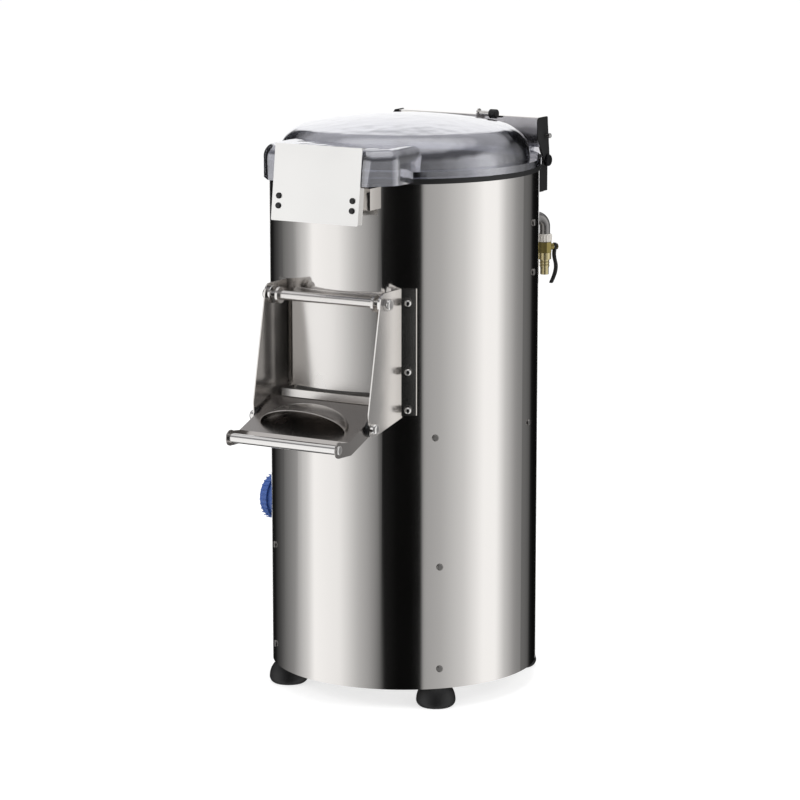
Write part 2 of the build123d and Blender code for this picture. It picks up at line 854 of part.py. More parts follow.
# Tray pivots: bolt through cheek, spacer and tray flange, domed outside, flat head inside
pivot_head_radius = 6.0
pivot_head_width = 4.0
with BuildPart() as tray_pivots:
    for side in (-1, 1):
        with BuildSketch(Plane.YZ.offset(side * (tray_half_width - thin_sheet - seat_gap))):
            with Locations(pivot_place):
                Circle(pivot_head_radius)
        extrude(amount=-side * pivot_head_width)
        with BuildSketch(Plane.YZ.offset(side * (tray_half_width - thin_sheet - seat_gap))):
            with Locations(pivot_place):
                Circle(pivot_radius)
        extrude(amount=side * (cheek_outer - tray_half_width + 2 * sheet))
        with BuildSketch(Plane.YZ.offset(side * (cheek_outer + seat_gap))):
            with Locations(pivot_place):
                Circle(cap_nut_radius * cos(pi / 6) - seat_gap)
        extrude(amount=side * cap_nut_reach)
    fillet(
        tray_pivots.edges().filter_by(GeomType.CIRCLE).filter_by(
            lambda e: abs(e.arc_center.X) > cheek_outer + cap_nut_reach
        ),
        cap_nut_reach / 2,
    )
finish(tray_pivots, "tray_pivots")

# Spindle: vertical shaft through the bearings, with a shoulder for the turntable
spindle_foot = pulley_bottom - sheet
spindle_top = turntable_top + abrasive_layer
with BuildPart() as spindle:
    with BuildSketch(Plane.XY.offset(spindle_foot)):
        Circle(shaft_radius)
    extrude(amount=turntable_bottom - spindle_foot)
    with BuildSketch(Plane.XY.offset(turntable_bottom)):
        Circle(shaft_radius * 2 / 3)
    extrude(amount=spindle_top - turntable_bottom + sheet)
finish(spindle, "spindle")

# Bearing housing: flanged tube under the chamber floor with a seat for each bearing
housing_top = chamber_floor_top - chamber_floor_thickness - seat_gap
housing_flange = 8.0
with BuildPart() as bearing_housing:
    with BuildSketch(Plane.XY.offset(housing_top - housing_length)):
        Circle(housing_radius)
    extrude(amount=housing_length)
    with BuildSketch(Plane.XY.offset(housing_top - housing_flange)):
        Circle(housing_flange_radius)
    extrude(amount=housing_flange)
    with BuildSketch(Plane.XY.offset(housing_top - housing_length - overrun)):
        Circle(shaft_radius + sheet)
    extrude(amount=housing_length + 2 * overrun, mode=Mode.SUBTRACT)
    for seat in (housing_top - housing_length, housing_top - bearing_width):
        with BuildSketch(Plane.XY.offset(seat)):
            Circle(bearing_radius)
        extrude(amount=bearing_width, mode=Mode.SUBTRACT)
finish(bearing_housing, "bearing_housing")

# Ball bearings: a ring at each end of the housing
with BuildPart() as spindle_bearings:
    for seat in (housing_top - housing_length, housing_top - bearing_width):
        with BuildSketch(Plane.XY.offset(seat)):
            ring(bearing_radius - running_gap, shaft_radius + running_gap)
        extrude(amount=bearing_width)
    chamfer(spindle_bearings.edges().filter_by(GeomType.CIRCLE), thin_sheet / 2)
finish(spindle_bearings, "spindle_bearings")

# Shaft seal: rubber ring that stands on the chamber floor around the spindle
seal_width = 8.0
seal_height = turntable_rise - 2 * thin_sheet
with BuildPart() as shaft_seal:
    with BuildSketch(Plane.XY.offset(chamber_floor_top + seat_gap)):
        ring(shaft_radius + seal_width, shaft_radius + running_gap)
    extrude(amount=seal_height)
    chamfer(shaft_seal.edges().filter_by(GeomType.CIRCLE).sort_by(Axis.Z)[-1], sheet)
finish(shaft_seal, "shaft_seal")

# Turntable: cast disc with a stiffening rim under its edge
rim_web = 6.0
with BuildPart() as turntable:
    with BuildSketch(Plane.XY.offset(turntable_bottom)):
        ring(turntable_radius, shaft_radius * 2 / 3 + running_gap)
    extrude(amount=turntable_thickness)
    with BuildSketch(Plane.XY.offset(turntable_bottom)):
        ring(turntable_radius - rim_web, shaft_radius + 2 * seal_width)
    extrude(amount=turntable_thickness / 2, mode=Mode.SUBTRACT)
    with BuildSketch(Plane.XY.offset(turntable_bottom)):
        with PolarLocations((turntable_radius + shaft_radius) / 2, 2 * wave_count):
            Rectangle(turntable_radius - shaft_radius - 2 * seal_width, rim_web)
    extrude(amount=turntable_thickness / 2 + seat_gap)
finish(turntable, "turntable")

# Abrasive disc: grit layer with raised waves that tumble the potatoes
wave_reach = turntable_radius - 2 * rim_web
with BuildPart() as abrasive_disc:
    with BuildSketch(Plane.XY.offset(turntable_top + seat_gap / 3)):
        ring(turntable_radius, shaft_radius * 2 / 3 + running_gap)
    extrude(amount=abrasive_layer)
    for turn in range(wave_count):
        across = Plane.XZ.rotated((0, 0, 360 * turn / wave_count)).offset(-wave_reach)
        with BuildSketch(across):
            with BuildLine():
                wave_foot = turntable_top + abrasive_layer / 2
                wave_arc = ThreePointArc(
                    (-wave_width / 2, wave_foot),
                    (0, wave_foot + wave_height),
                    (wave_width / 2, wave_foot),
                )
                Line(wave_arc @ 1, wave_arc @ 0)
            make_face()
        extrude(amount=wave_reach - 2 * shaft_radius)
finish(abrasive_disc, "abrasive_disc")

# Hub nut: domed nut that clamps the disc on the spindle
hub_nut_radius = 18.0
hub_nut_height = 14.0
with BuildPart() as hub_nut:
    with BuildSketch(Plane.XY.offset(spindle_top + seat_gap)):
        Circle(hub_nut_radius)
    extrude(amount=hub_nut_height)
    fillet(hub_nut.edges().filter_by(GeomType.CIRCLE).sort_by(Axis.Z)[-1], hub_nut_height * 3 / 4)
    with BuildSketch(Plane.XY.offset(spindle_top)):
        Circle(shaft_radius * 2 / 3 + running_gap)
    extrude(amount=sheet + seat_gap, mode=Mode.SUBTRACT)
finish(hub_nut, "hub_nut")


def pulley_wheel(outer):
    """Solid wheel with a V groove for the belt, on the Z axis."""
    groove_middle = pulley_bottom + pulley_width / 2
    groove_floor = outer - belt_thickness - seat_gap
    with BuildPart() as wheel:
        with BuildSketch(Plane.XZ):
            with BuildLine():
                Polyline(
                    (0, pulley_bottom),
                    (outer, pulley_bottom),
                    (outer, groove_middle - belt_width / 2 - seat_gap),
                    (groove_floor, groove_middle - belt_width / 3 - seat_gap),
                    (groove_floor, groove_middle + belt_width / 3 + seat_gap),
                    (outer, groove_middle + belt_width / 2 + seat_gap),
                    (outer, pulley_bottom + pulley_width),
                    (0, pulley_bottom + pulley_width),
                    close=True,
                )
            make_face()
        revolve(axis=Axis.Z)
    return wheel.part


# Spindle pulley: large grooved wheel with lightening holes
lightening_count = 5
lightening_radius = 15.0
lightening_circle = (large_pulley_radius - belt_thickness + shaft_radius) / 2
with BuildPart() as spindle_pulley:
    add(pulley_wheel(large_pulley_radius))
    with BuildSketch(Plane.XY.offset(pulley_bottom)):
        Circle(shaft_radius + running_gap)
        with PolarLocations(lightening_circle, lightening_count):
            Circle(lightening_radius)
    extrude(amount=pulley_width, mode=Mode.SUBTRACT)
finish(spindle_pulley, "spindle_pulley")

# Motor pulley: small grooved wheel on the motor shaft
with BuildPart() as motor_pulley:
    with Locations((0, motor_offset, 0)):
        add(pulley_wheel(small_pulley_radius))
    with BuildSketch(Plane.XY.offset(pulley_bottom)):
        with Locations((0, motor_offset)):
            Circle(motor_shaft_radius + running_gap)
    extrude(amount=pulley_width, mode=Mode.SUBTRACT)
finish(motor_pulley, "motor_pulley")


def belt_solid(large, small):
    """Solid inside a belt line: two arcs round the pulleys and their common tangents."""
    lean = asin((large - small) / motor_offset)
    large_touch = (large * cos(lean), large * sin(lean))
    small_touch = (small * cos(lean), motor_offset + small * sin(lean))
    with BuildPart() as slab:
        with BuildSketch(Plane.XY.offset(belt_rise)):
            with BuildLine():
                Line(large_touch, small_touch)
                ThreePointArc(small_touch, (0, motor_offset + small), (-small_touch[0], small_touch[1]))
                Line((-small_touch[0], small_touch[1]), (-large_touch[0], large_touch[1]))
                ThreePointArc((-large_touch[0], large_touch[1]), (0, -large), large_touch)
            make_face()
        extrude(amount=belt_width * 2 / 3)
    return slab.part


# Drive belt: loop that lies in both grooves
belt_rise = pulley_bottom + pulley_width / 2 - belt_width / 3
with BuildPart() as drive_belt:
    add(belt_solid(large_pulley_radius, small_pulley_radius))
    add(
        belt_solid(large_pulley_radius - belt_thickness, small_pulley_radius - belt_thickness),
        mode=Mode.SUBTRACT,
    )
finish(drive_belt, "drive_belt")

# Motor shaft: from the pulley up into the motor
with BuildPart() as motor_shaft:
    with BuildSketch(Plane.XY.offset(pulley_bottom - sheet)):
        with Locations((0, motor_offset)):
            Circle(motor_shaft_radius)
    extrude(amount=motor_bottom - pulley_bottom + motor_length / 2)
finish(motor_shaft, "motor_shaft")

# Motor: finned stator with a bored lower shield and a terminal box
fin_count = 18
fin_width = 4.0
fin_reach = 5.0
terminal_box = (44.0, 30.0, 60.0)
shield_height = 16.0
with BuildPart() as motor:
    with BuildSketch(Plane.XY.offset(motor_bottom)):
        with Locations((0, motor_offset)):
            Circle(motor_radius)
    extrude(amount=motor_length)
    fillet(motor.edges().filter_by(GeomType.CIRCLE).sort_by(Axis.Z)[-1], shield_height / 2)
    with BuildSketch(Plane.XY.offset(motor_bottom + shield_height)):
        with Locations((0, motor_offset)):
            with PolarLocations(motor_radius, fin_count):
                Rectangle(fin_reach * 2, fin_width)
    extrude(amount=motor_length - 2 * shield_height)
    with BuildSketch(Plane.XY.offset(motor_bottom)):
        with Locations((0, motor_offset)):
            Circle(motor_shaft_radius + running_gap)
    extrude(amount=motor_length / 2 + shield_height, mode=Mode.SUBTRACT)
    with BuildSketch(Plane.XY.offset(motor_bottom + motor_length / 4)):
        with Locations((motor_radius + terminal_box[1] / 3, motor_offset - terminal_box[0] / 2)):
            Rectangle(terminal_box[1], terminal_box[0])
    extrude(amount=terminal_box[2])
finish(motor, "motor")

# Motor stand: plate under the motor on four posts that stand on the base plate
stand_plate = 5.0
post_radius = 8.0
post_places = ((-75.0, 85.0), (75.0, 85.0), (-60.0, 162.0), (60.0, 162.0))
stand_top = motor_bottom - seat_gap
stand_foot = shell_bottom + sheet + seat_gap
with BuildPart() as motor_stand:
    with BuildSketch(Plane.XY.offset(stand_top - stand_plate)):
        with Locations(*post_places):
            Circle(post_radius + sheet)
        make_hull()
        with Locations((0, motor_offset)):
            Circle(motor_shaft_radius + running_gap + sheet, mode=Mode.SUBTRACT)
    extrude(amount=stand_plate)
    with BuildSketch(Plane.XY.offset(stand_foot)):
        with Locations(*post_places):
            Circle(post_radius)
    extrude(amount=stand_top - stand_foot - stand_plate / 2)
finish(motor_stand, "motor_stand")

# Drain pipe: from the chamber floor down, round an elbow and out at the rear
drain_bend = 32.0
drain_level = chamber_floor_top - drain_drop
with BuildPart() as drain_pipe:
    with BuildLine(Plane.YZ) as drain_path:
        FilletPolyline(
            (drain_back, chamber_floor_top),
            (drain_back, drain_level),
            (drain_reach, drain_level),
            radius=drain_bend,
        )
    with BuildSketch(Plane.XY.offset(chamber_floor_top)):
        with Locations((0, drain_back)):
            ring(drain_radius, drain_radius - drain_wall)
    sweep(path=drain_path.wires()[0])
    bead_start = drain_reach - drain_spigot - drain_bead
    with BuildSketch(side_plane(180, drain_level, bead_start)):
        ring(drain_radius + drain_bead, drain_radius - drain_wall / 2)
    extrude(amount=drain_bead)
finish(drain_pipe, "drain_pipe")


def dome_solid(inset):
    """Solid under the dome's skin, set in by an inset from the outside."""
    crown = dome_crown_radius - inset
    shoulder = dome_round - inset
    crown_centre = lid_base + dome_height - dome_crown_radius
    shoulder_centre = dome_shoulder_radius - dome_round
    turn = acos(shoulder_centre / (dome_crown_radius - dome_round))
    shoulder_level = crown_centre + (dome_crown_radius - dome_round) * sin(turn)
    crown_turn = (pi / 2 - turn) / 2
    bottom = lid_base - inset
    with BuildPart() as dome:
        with BuildSketch(Plane.XZ):
            with BuildLine():
                top_line = ThreePointArc(
                    (0, crown_centre + crown),
                    (crown * sin(crown_turn), crown_centre + crown * cos(crown_turn)),
                    (shoulder_centre + shoulder * cos(turn), shoulder_level + shoulder * sin(turn)),
                )
                shoulder_line = ThreePointArc(
                    top_line @ 1,
                    (
                        shoulder_centre + shoulder * cos(turn / 2),
                        shoulder_level + shoulder * sin(turn / 2),
                    ),
                    (shoulder_centre + shoulder, shoulder_level),
                )
                Polyline(
                    shoulder_line @ 1,
                    (shoulder_centre + shoulder, bottom),
                    (0, bottom),
                    top_line @ 0,
                )
            make_face()
        revolve(axis=Axis.Z)
    return dome.part


def hood_solid(inset):
    """Solid of the hood in front of the dome, set in by an inset, with its leaning front."""
    with BuildPart() as hood:
        with BuildSketch(Plane.XY.offset(lid_base - hood_drop - overrun * inset / lid_wall)):
            with BuildLine():
                Polyline(
                    (-hood_half_width + inset, 0),
                    (-hood_half_width + inset, hood_ear_setback - hood_front),
                    (-hood_front_half_width + inset, -plate_bottom_forward),
                    (hood_front_half_width - inset, -plate_bottom_forward),
                    (hood_half_width - inset, hood_ear_setback - hood_front),
                    (hood_half_width - inset, 0),
                    close=True,
                )
            make_face()
        extrude(amount=hood_height - inset + overrun * inset / lid_wall)
        fillet(
            hood.edges().filter_by(Axis.Z).filter_by(lambda e: e.center().Y < -hood_half_width),
            hood_round - inset,
        )
        with BuildSketch(plate_plane.offset(-thin_sheet - seat_gap - inset)):
            Rectangle(3 * hood_half_width, 3 * hood_half_width)
        extrude(amount=2 * plate_bottom_forward, mode=Mode.SUBTRACT)
        fillet(
            hood.faces().sort_by(Axis.Z)[-1].edges().filter_by(lambda e: e.center().Y < -overrun),
            hood_round - inset,
        )
    return hood.part


# Lid: clear moulded dome with its hood, rim flange and rear lug
with BuildPart() as lid_dome:
    add(dome_solid(0))
    add(hood_solid(0))
    add(dome_solid(lid_wall), mode=Mode.SUBTRACT)
    add(hood_solid(lid_wall), mode=Mode.SUBTRACT)
    with BuildSketch(Plane.XY.offset(lid_base)):
        with Locations((0, hinge_back / 2)):
            Rectangle(2 * lug_half_width, hinge_back)
        Circle(lid_rim_radius)
        Circle(dome_shoulder_radius - lid_wall, mode=Mode.SUBTRACT)
    extrude(amount=lid_rim_thickness)
    with BuildSketch(Plane.XY.offset(lid_base)):
        Circle(body_radius + gasket_lip + seat_gap)
    extrude(amount=-hood_drop - overrun, mode=Mode.SUBTRACT)
    with BuildSketch(Plane.XY.offset(lid_rim_top - cover_screw_depth)):
        with Locations(*[(x, cover_screw_back) for x in cover_screw_places]):
            Circle(cover_screw_radius + seat_gap)
    extrude(amount=cover_screw_depth, mode=Mode.SUBTRACT)
finish(lid_dome, "lid_dome")

# Front plate: bright sheet with folded sides and top, leaning over the hood's front
with BuildPart() as front_plate:
    with BuildSketch(plate_plane):
        with Locations((0, -plate_slant / 2)):
            RectangleRounded(2 * plate_half_width, plate_slant, sheet)
    extrude(amount=-thin_sheet)
    with BuildSketch(plate_plane):
        with Locations((0, -thin_sheet / 2)):
            Rectangle(2 * (plate_half_width - sheet), thin_sheet)
    extrude(amount=-plate_return)
    return_length = plate_slant - (plate_top - lid_base + hood_drop) - overrun
    with BuildSketch(plate_plane):
        for side in (-1, 1):
            with Locations(
                (side * (plate_half_width - thin_sheet / 2), return_length / 2 - plate_slant + sheet)
            ):
                Rectangle(thin_sheet, return_length)
    extrude(amount=-plate_return)
    with BuildSketch(plate_plane):
        with Locations(*plate_screw_places):
            Circle(plate_screw_radius + seat_gap / 2)
    extrude(amount=-thin_sheet, mode=Mode.SUBTRACT)
finish(front_plate, "front_plate")

# Plate screws: button heads that hold the magnet blocks
with BuildPart() as plate_screws:
    with BuildSketch(plate_plane.offset(seat_gap)):
        with Locations(*plate_screw_places):
            Circle(plate_screw_head)
    extrude(amount=sheet)
    fillet(
        plate_screws.edges().filter_by(
            lambda e: plate_plane.to_local_coords(e.center()).Z > sheet
        ),
        thin_sheet,
    )
    with BuildSketch(plate_plane.offset(seat_gap)):
        with Locations(*plate_screw_places):
            Circle(plate_screw_radius)
    extrude(amount=-magnet_depth)
finish(plate_screws, "plate_screws")

# Magnet blocks: behind the front plate, two screws each
with BuildPart() as lid_magnets:
    with BuildSketch(plate_plane.offset(-thin_sheet - seat_gap)):
        for side in (-1, 1):
            with Locations((side * plate_screw_out, plate_screw_middle)):
                Rectangle(magnet_width, magnet_height)
    extrude(amount=-magnet_depth)
    chamfer(lid_magnets.edges().filter_by(GeomType.LINE).group_by(Axis.Y)[-1], thin_sheet)
    with BuildSketch(plate_plane):
        with Locations(*plate_screw_places):
            Circle(plate_screw_radius + seat_gap / 2)
    extrude(amount=-magnet_depth - thin_sheet, mode=Mode.SUBTRACT)
finish(lid_magnets, "lid_magnets")

# Rear cover of the lid: folded sheet with two eyes on the hinge pin and a stud for the buffer
cover_seat = lid_rim_top + seat_gap
cover_eye_back = hinge_back + hinge_eye_radius
with BuildPart() as lid_cover:
    with BuildSketch(Plane.YZ.offset(-cover_half_width)):
        with BuildLine():
            Polyline(
                (cover_front, cover_seat),
                (cover_back - cover_fold, cover_seat),
                (cover_back - cover_fold, cover_seat + thin_sheet),
                (cover_front + sheet, cover_seat + thin_sheet),
                (cover_front + sheet, cover_top - sheet),
                (cover_back, cover_top - sheet),
                (cover_back, cover_top),
                (cover_front, cover_top),
                close=True,
            )
        make_face()
    extrude(amount=2 * cover_half_width)
    fillet(
        lid_cover.edges().filter_by(Axis.X).group_by(Axis.Z)[-1].sort_by(Axis.Y)[0], sheet / 2
    )
    for start in (-cover_half_width, cover_half_width - sheet):
        with BuildSketch(Plane.YZ.offset(start)):
            with BuildLine():
                Polyline(
                    (cover_front, cover_top),
                    (cover_front, cover_seat),
                    (hinge_back - hinge_eye_radius, hinge_height),
                    (cover_eye_back, hinge_height),
                    (cover_back, cover_top),
                    close=True,
                )
            make_face()
            with Locations((hinge_back, hinge_height)):
                Circle(hinge_eye_radius)
                Circle(hinge_pin_radius + running_gap, mode=Mode.SUBTRACT)
        extrude(amount=sheet)
    with BuildSketch(Plane.XY.offset(cover_seat)):
        with Locations(*[(x, cover_screw_back) for x in cover_screw_places]):
            Circle(cover_screw_radius + seat_gap / 2)
    extrude(amount=thin_sheet, mode=Mode.SUBTRACT)
    with BuildSketch(Plane.YZ.offset(buffer_stud_left - sheet)):
        with Locations((buffer_back, buffer_height)):
            Circle(buffer_radius)
        with Locations(((buffer_back + cover_front) / 2, cover_top - buffer_radius)):
            Rectangle(cover_front - buffer_back, 2 * buffer_radius)
    extrude(amount=sheet)
    with BuildSketch(Plane.YZ.offset(buffer_stud_left - sheet)):
        with Locations((buffer_back, buffer_height)):
            Circle(buffer_stud_radius)
    extrude(amount=sheet + buffer_stud_length)
finish(lid_cover, "lid_cover")

# Lid buffer: rubber sleeve on the stud, meets the wall when the lid is open
with BuildPart() as lid_buffer:
    with BuildSketch(Plane.YZ.offset(buffer_left)):
        with Locations((buffer_back, buffer_height)):
            Circle(buffer_radius)
    extrude(amount=buffer_length)
    fillet(lid_buffer.edges().filter_by(GeomType.CIRCLE), sheet)
    with BuildSketch(Plane.YZ.offset(buffer_left)):
        with Locations((buffer_back, buffer_height)):
            Circle(buffer_stud_radius + seat_gap / 2)
    extrude(
        amount=buffer_stud_left + buffer_stud_length + seat_gap - buffer_left, mode=Mode.SUBTRACT
    )
finish(lid_buffer, "lid_buffer")

# Lid screws: on the tab of the rear cover
with BuildPart() as lid_screws:
    with BuildSketch(Plane.XY.offset(cover_seat + thin_sheet + seat_gap)):
        with Locations(*[(x, cover_screw_back) for x in cover_screw_places]):
            Circle(plate_screw_head)
    extrude(amount=sheet)
    with BuildSketch(Plane.XY.offset(cover_seat + thin_sheet + seat_gap)):
        with Locations(*[(x, cover_screw_back) for x in cover_screw_places]):
            Circle(cover_screw_radius)
    extrude(amount=-cover_screw_depth)
finish(lid_screws, "lid_screws")

# Hinge bracket: two eyes and a web on the shell
bracket_inner = bracket_half_width - bracket_sheet
with BuildPart() as hinge_bracket:
    for start in (-bracket_half_width, bracket_inner):
        with BuildSketch(Plane.YZ.offset(start)):
            with BuildLine():
                Polyline(
                    (bracket_inner, bracket_bottom),
                    (hinge_back, bracket_bottom),
                    (hinge_back + hinge_eye_radius, hinge_height),
                    (hinge_back - hinge_eye_radius, hinge_height),
                    (bracket_inner, bracket_top),
                    close=True,
                )
            make_face()
            with Locations((hinge_back, hinge_height)):
                Circle(hinge_eye_radius)
                Circle(hinge_pin_radius + seat_gap / 2, mode=Mode.SUBTRACT)
        extrude(amount=bracket_sheet)
    with BuildSketch(Plane.XY.offset(bracket_bottom)):
        with Locations((0, flange_inner + bracket_sheet / 2)):
            Rectangle(2 * bracket_half_width, bracket_sheet)
    extrude(amount=bracket_top - bracket_bottom - sheet)
    with BuildSketch(Plane.XY.offset(bracket_bottom)):
        Circle(flange_inner)
    extrude(amount=shell_height, mode=Mode.SUBTRACT)
finish(hinge_bracket, "hinge_bracket")

# Hinge pin: rod through cover and bracket with a head at each end
with BuildPart() as hinge_pin:
    with BuildSketch(Plane.YZ.offset(-cover_half_width - seat_gap)):
        with Locations((hinge_back, hinge_height)):
            Circle(hinge_pin_radius)
    extrude(amount=2 * (cover_half_width + seat_gap))
    for side in (-1, 1):
        with BuildSketch(Plane.YZ.offset(side * (cover_half_width + seat_gap))):
            with Locations((hinge_back, hinge_height)):
                Circle(hinge_eye_radius)
        extrude(amount=side * pin_head)
    fillet(
        hinge_pin.edges().filter_by(GeomType.CIRCLE).filter_by(
            lambda e: abs(e.arc_center.X) > cover_half_width + pin_head
        ),
        pin_head / 2,
    )
finish(hinge_pin, "hinge_pin")

# Switch brackets: folded sheet on the shell's front, one behind each magnet block
with BuildPart() as switch_brackets:
    with BuildSketch(Plane.XY.offset(switch_bottom)):
        for side in (-1, 1):
            with Locations((side * (switch_out - thin_sheet / 2), -switch_forward / 2)):
                Rectangle(thin_sheet, switch_forward)
            with Locations((side * (switch_out - switch_fold / 2), thin_sheet / 2 - switch_forward)):
                Rectangle(switch_fold, thin_sheet)
    extrude(amount=switch_height)
    with BuildSketch(Plane.XY.offset(switch_bottom)):
        Circle(flange_inner)
    extrude(amount=switch_height, mode=Mode.SUBTRACT)
finish(switch_brackets, "switch_brackets")

# Water line: everything hangs on one vertical line outside the shell
water_angle = radians(water_azimuth)
water_out = (sin(water_angle), -cos(water_angle))
water_spot = (water_leg_radius * water_out[0], water_leg_radius * water_out[1])
water_plane = Plane(
    origin=(0, 0, 0),
    x_dir=(water_out[0], water_out[1], 0),
    z_dir=(water_out[1], -water_out[0], 0),
)
water_axis = Axis((water_spot[0], water_spot[1], 0), (0, 0, 1))

# Inlet pipe: from inside the chamber through drum and shell, then down
pipe_start = lining_inner - nozzle_socket
with BuildPart() as inlet_pipe:
    with BuildLine(water_plane) as water_path:
        FilletPolyline(
            (pipe_start, water_height),
            (water_leg_radius, water_height),
            (water_leg_radius, union_bottom + union_height / 2),
            radius=2 * water_pipe_radius,
        )
    with BuildSketch(side_plane(water_azimuth, water_height, pipe_start)):
        ring(water_pipe_radius, water_pipe_radius - water_pipe_wall)
    sweep(path=water_path.wires()[0])
finish(inlet_pipe, "inlet_pipe")

# Spray nozzle: cap on the pipe's end inside the chamber
with BuildPart() as spray_nozzle:
    with BuildSketch(side_plane(water_azimuth, water_height, pipe_start - nozzle_socket)):
        Circle(nozzle_radius)
    extrude(amount=2 * nozzle_socket - sheet)
    fillet(spray_nozzle.edges().filter_by(GeomType.CIRCLE).sort_by(Axis.Y)[0], overrun)
    with BuildSketch(side_plane(water_azimuth, water_height, pipe_start - seat_gap)):
        Circle(water_pipe_radius + seat_gap / 2)
    extrude(amount=2 * nozzle_socket, mode=Mode.SUBTRACT)
    with BuildSketch(side_plane(water_azimuth, water_height, pipe_start - nozzle_socket - overrun)):
        SlotOverall(nozzle_radius, water_pipe_wall)
    extrude(amount=nozzle_socket + overrun, mode=Mode.SUBTRACT)
finish(spray_nozzle, "spray_nozzle")

# Union nut: white ribbed sleeve over the pipe's end and the valve's upper spigot
with BuildPart() as union_nut:
    with BuildSketch(Plane.XY.offset(union_bottom)):
        with Locations(water_spot):
            Circle(union_radius)
    extrude(amount=union_height)
    chamfer(union_nut.edges().filter_by(GeomType.CIRCLE), union_edge)
    with BuildSketch(Plane.XY.offset(union_bottom + union_edge)):
        with Locations(water_spot):
            with PolarLocations(union_radius, union_rib_count):
                Circle(union_edge * 2 / 3)
    extrude(amount=union_height - 2 * union_edge)
    with BuildSketch(Plane.XY.offset(union_bottom)):
        with Locations(water_spot):
            Circle(spigot_radius + seat_gap / 2)
    extrude(amount=union_height / 2, mode=Mode.SUBTRACT)
    with BuildSketch(Plane.XY.offset(union_bottom + union_height / 2 - seat_gap)):
        with Locations(water_spot):
            Circle(water_pipe_radius + seat_gap / 2)
    extrude(amount=union_height, mode=Mode.SUBTRACT)
finish(union_nut, "union_nut")

# Valve body: barrel with a spigot at each end, a round seat for the ball and a stem boss
valve_middle = union_bottom - seat_gap - valve_height / 2
spigot_reach = union_height / 2 - sheet
stem_plane = side_plane(water_azimuth, valve_middle, water_leg_radius)
with BuildPart() as valve_body:
    with BuildSketch(Plane.XY.offset(valve_middle - valve_height / 2)):
        with Locations(water_spot):
            RegularPolygon(valve_radius, 8, major_radius=False)
    extrude(amount=valve_height)
    with BuildSketch(Plane.XY.offset(valve_middle - valve_height / 2 - spigot_reach)):
        with Locations(water_spot):
            Circle(spigot_radius)
    extrude(amount=valve_height + 2 * spigot_reach)
    with BuildSketch(stem_plane):
        Circle(stem_radius + sheet)
    extrude(amount=boss_reach)
    with Locations((water_spot[0], water_spot[1], valve_middle)):
        Sphere(ball_radius + seat_gap, mode=Mode.SUBTRACT)
    with BuildSketch(stem_plane):
        Circle(stem_radius + running_gap)
    extrude(amount=boss_reach, mode=Mode.SUBTRACT)
    with BuildSketch(Plane.XY.offset(valve_middle - valve_height)):
        with Locations(water_spot):
            Circle(valve_bore)
    extrude(amount=2 * valve_height, mode=Mode.SUBTRACT)
finish(valve_body, "valve_body")

# Valve ball: bored ball with its stem
with BuildPart() as valve_ball:
    with Locations((water_spot[0], water_spot[1], valve_middle)):
        Sphere(ball_radius)
    with BuildSketch(stem_plane):
        Circle(stem_radius)
    extrude(amount=boss_reach + seat_gap + sheet)
    with BuildSketch(Plane.XY.offset(valve_middle - valve_height)):
        with Locations(water_spot):
            Circle(valve_bore)
    extrude(amount=2 * valve_height, mode=Mode.SUBTRACT)
finish(valve_ball, "valve_ball")

# Valve lever: bent strip on the stem's end, hanging down while the valve is open
lever_start = water_leg_radius + boss_reach + seat_gap
with BuildPart() as valve_lever:
    with BuildSketch(water_plane.offset(-lever_width / 2)):
        with BuildLine():
            Polyline(
                (lever_start, valve_middle + lever_width / 2),
                (lever_start, valve_middle - lever_width / 2),
                (lever_start + lever_bend, valve_middle - 2 * lever_width),
                (lever_start + lever_bend / 2, valve_middle - lever_length),
                (lever_start + lever_bend / 2 + lever_sheet, valve_middle - lever_length),
                (lever_start + lever_bend + lever_sheet, valve_middle - 2 * lever_width),
                (lever_start + lever_sheet, valve_middle - lever_width / 2),
                (lever_start + lever_sheet, valve_middle + lever_width / 2),
                close=True,
            )
        make_face()
    extrude(amount=lever_width)
    fillet(valve_lever.edges().filter_by(Axis.Z), seat_gap)
    with BuildSketch(side_plane(water_azimuth, valve_middle, lever_start - overrun)):
        Circle(stem_radius + seat_gap / 2)
    extrude(amount=2 * overrun + lever_sheet, mode=Mode.SUBTRACT)
finish(valve_lever, "valve_lever")

# Hose tail: nut round the lower spigot, barbs, and a plain end for the hose
tail_top = valve_middle - valve_height / 2 - seat_gap
tail_nut_bottom = tail_top - tail_nut_height
barb_pitch = (tail_nut_bottom - tail_bottom - tail_plain) / barb_count
with BuildPart() as hose_tail:
    with BuildSketch(water_plane):
        with BuildLine():
            tail_outline = [
                (water_leg_radius + tail_bore, tail_bottom),
                (water_leg_radius + tail_radius, tail_bottom),
            ]
            for barb in range(barb_count):
                barb_foot = tail_bottom + tail_plain + barb * barb_pitch
                tail_outline.append((water_leg_radius + tail_radius, barb_foot))
                tail_outline.append(
                    (water_leg_radius + tail_radius + barb_height, barb_foot + barb_pitch)
                )
            Polyline(
                *tail_outline,
                (water_leg_radius + valve_radius, tail_nut_bottom),
                (water_leg_radius + valve_radius, tail_top),
                (water_leg_radius + spigot_radius + seat_gap / 2, tail_top),
                (water_leg_radius + spigot_radius + seat_gap / 2, tail_top - spigot_reach),
                (water_leg_radius + tail_bore, tail_top - spigot_reach),
                close=True,
            )
        make_face()
    revolve(axis=water_axis)
finish(hose_tail, "hose_tail")

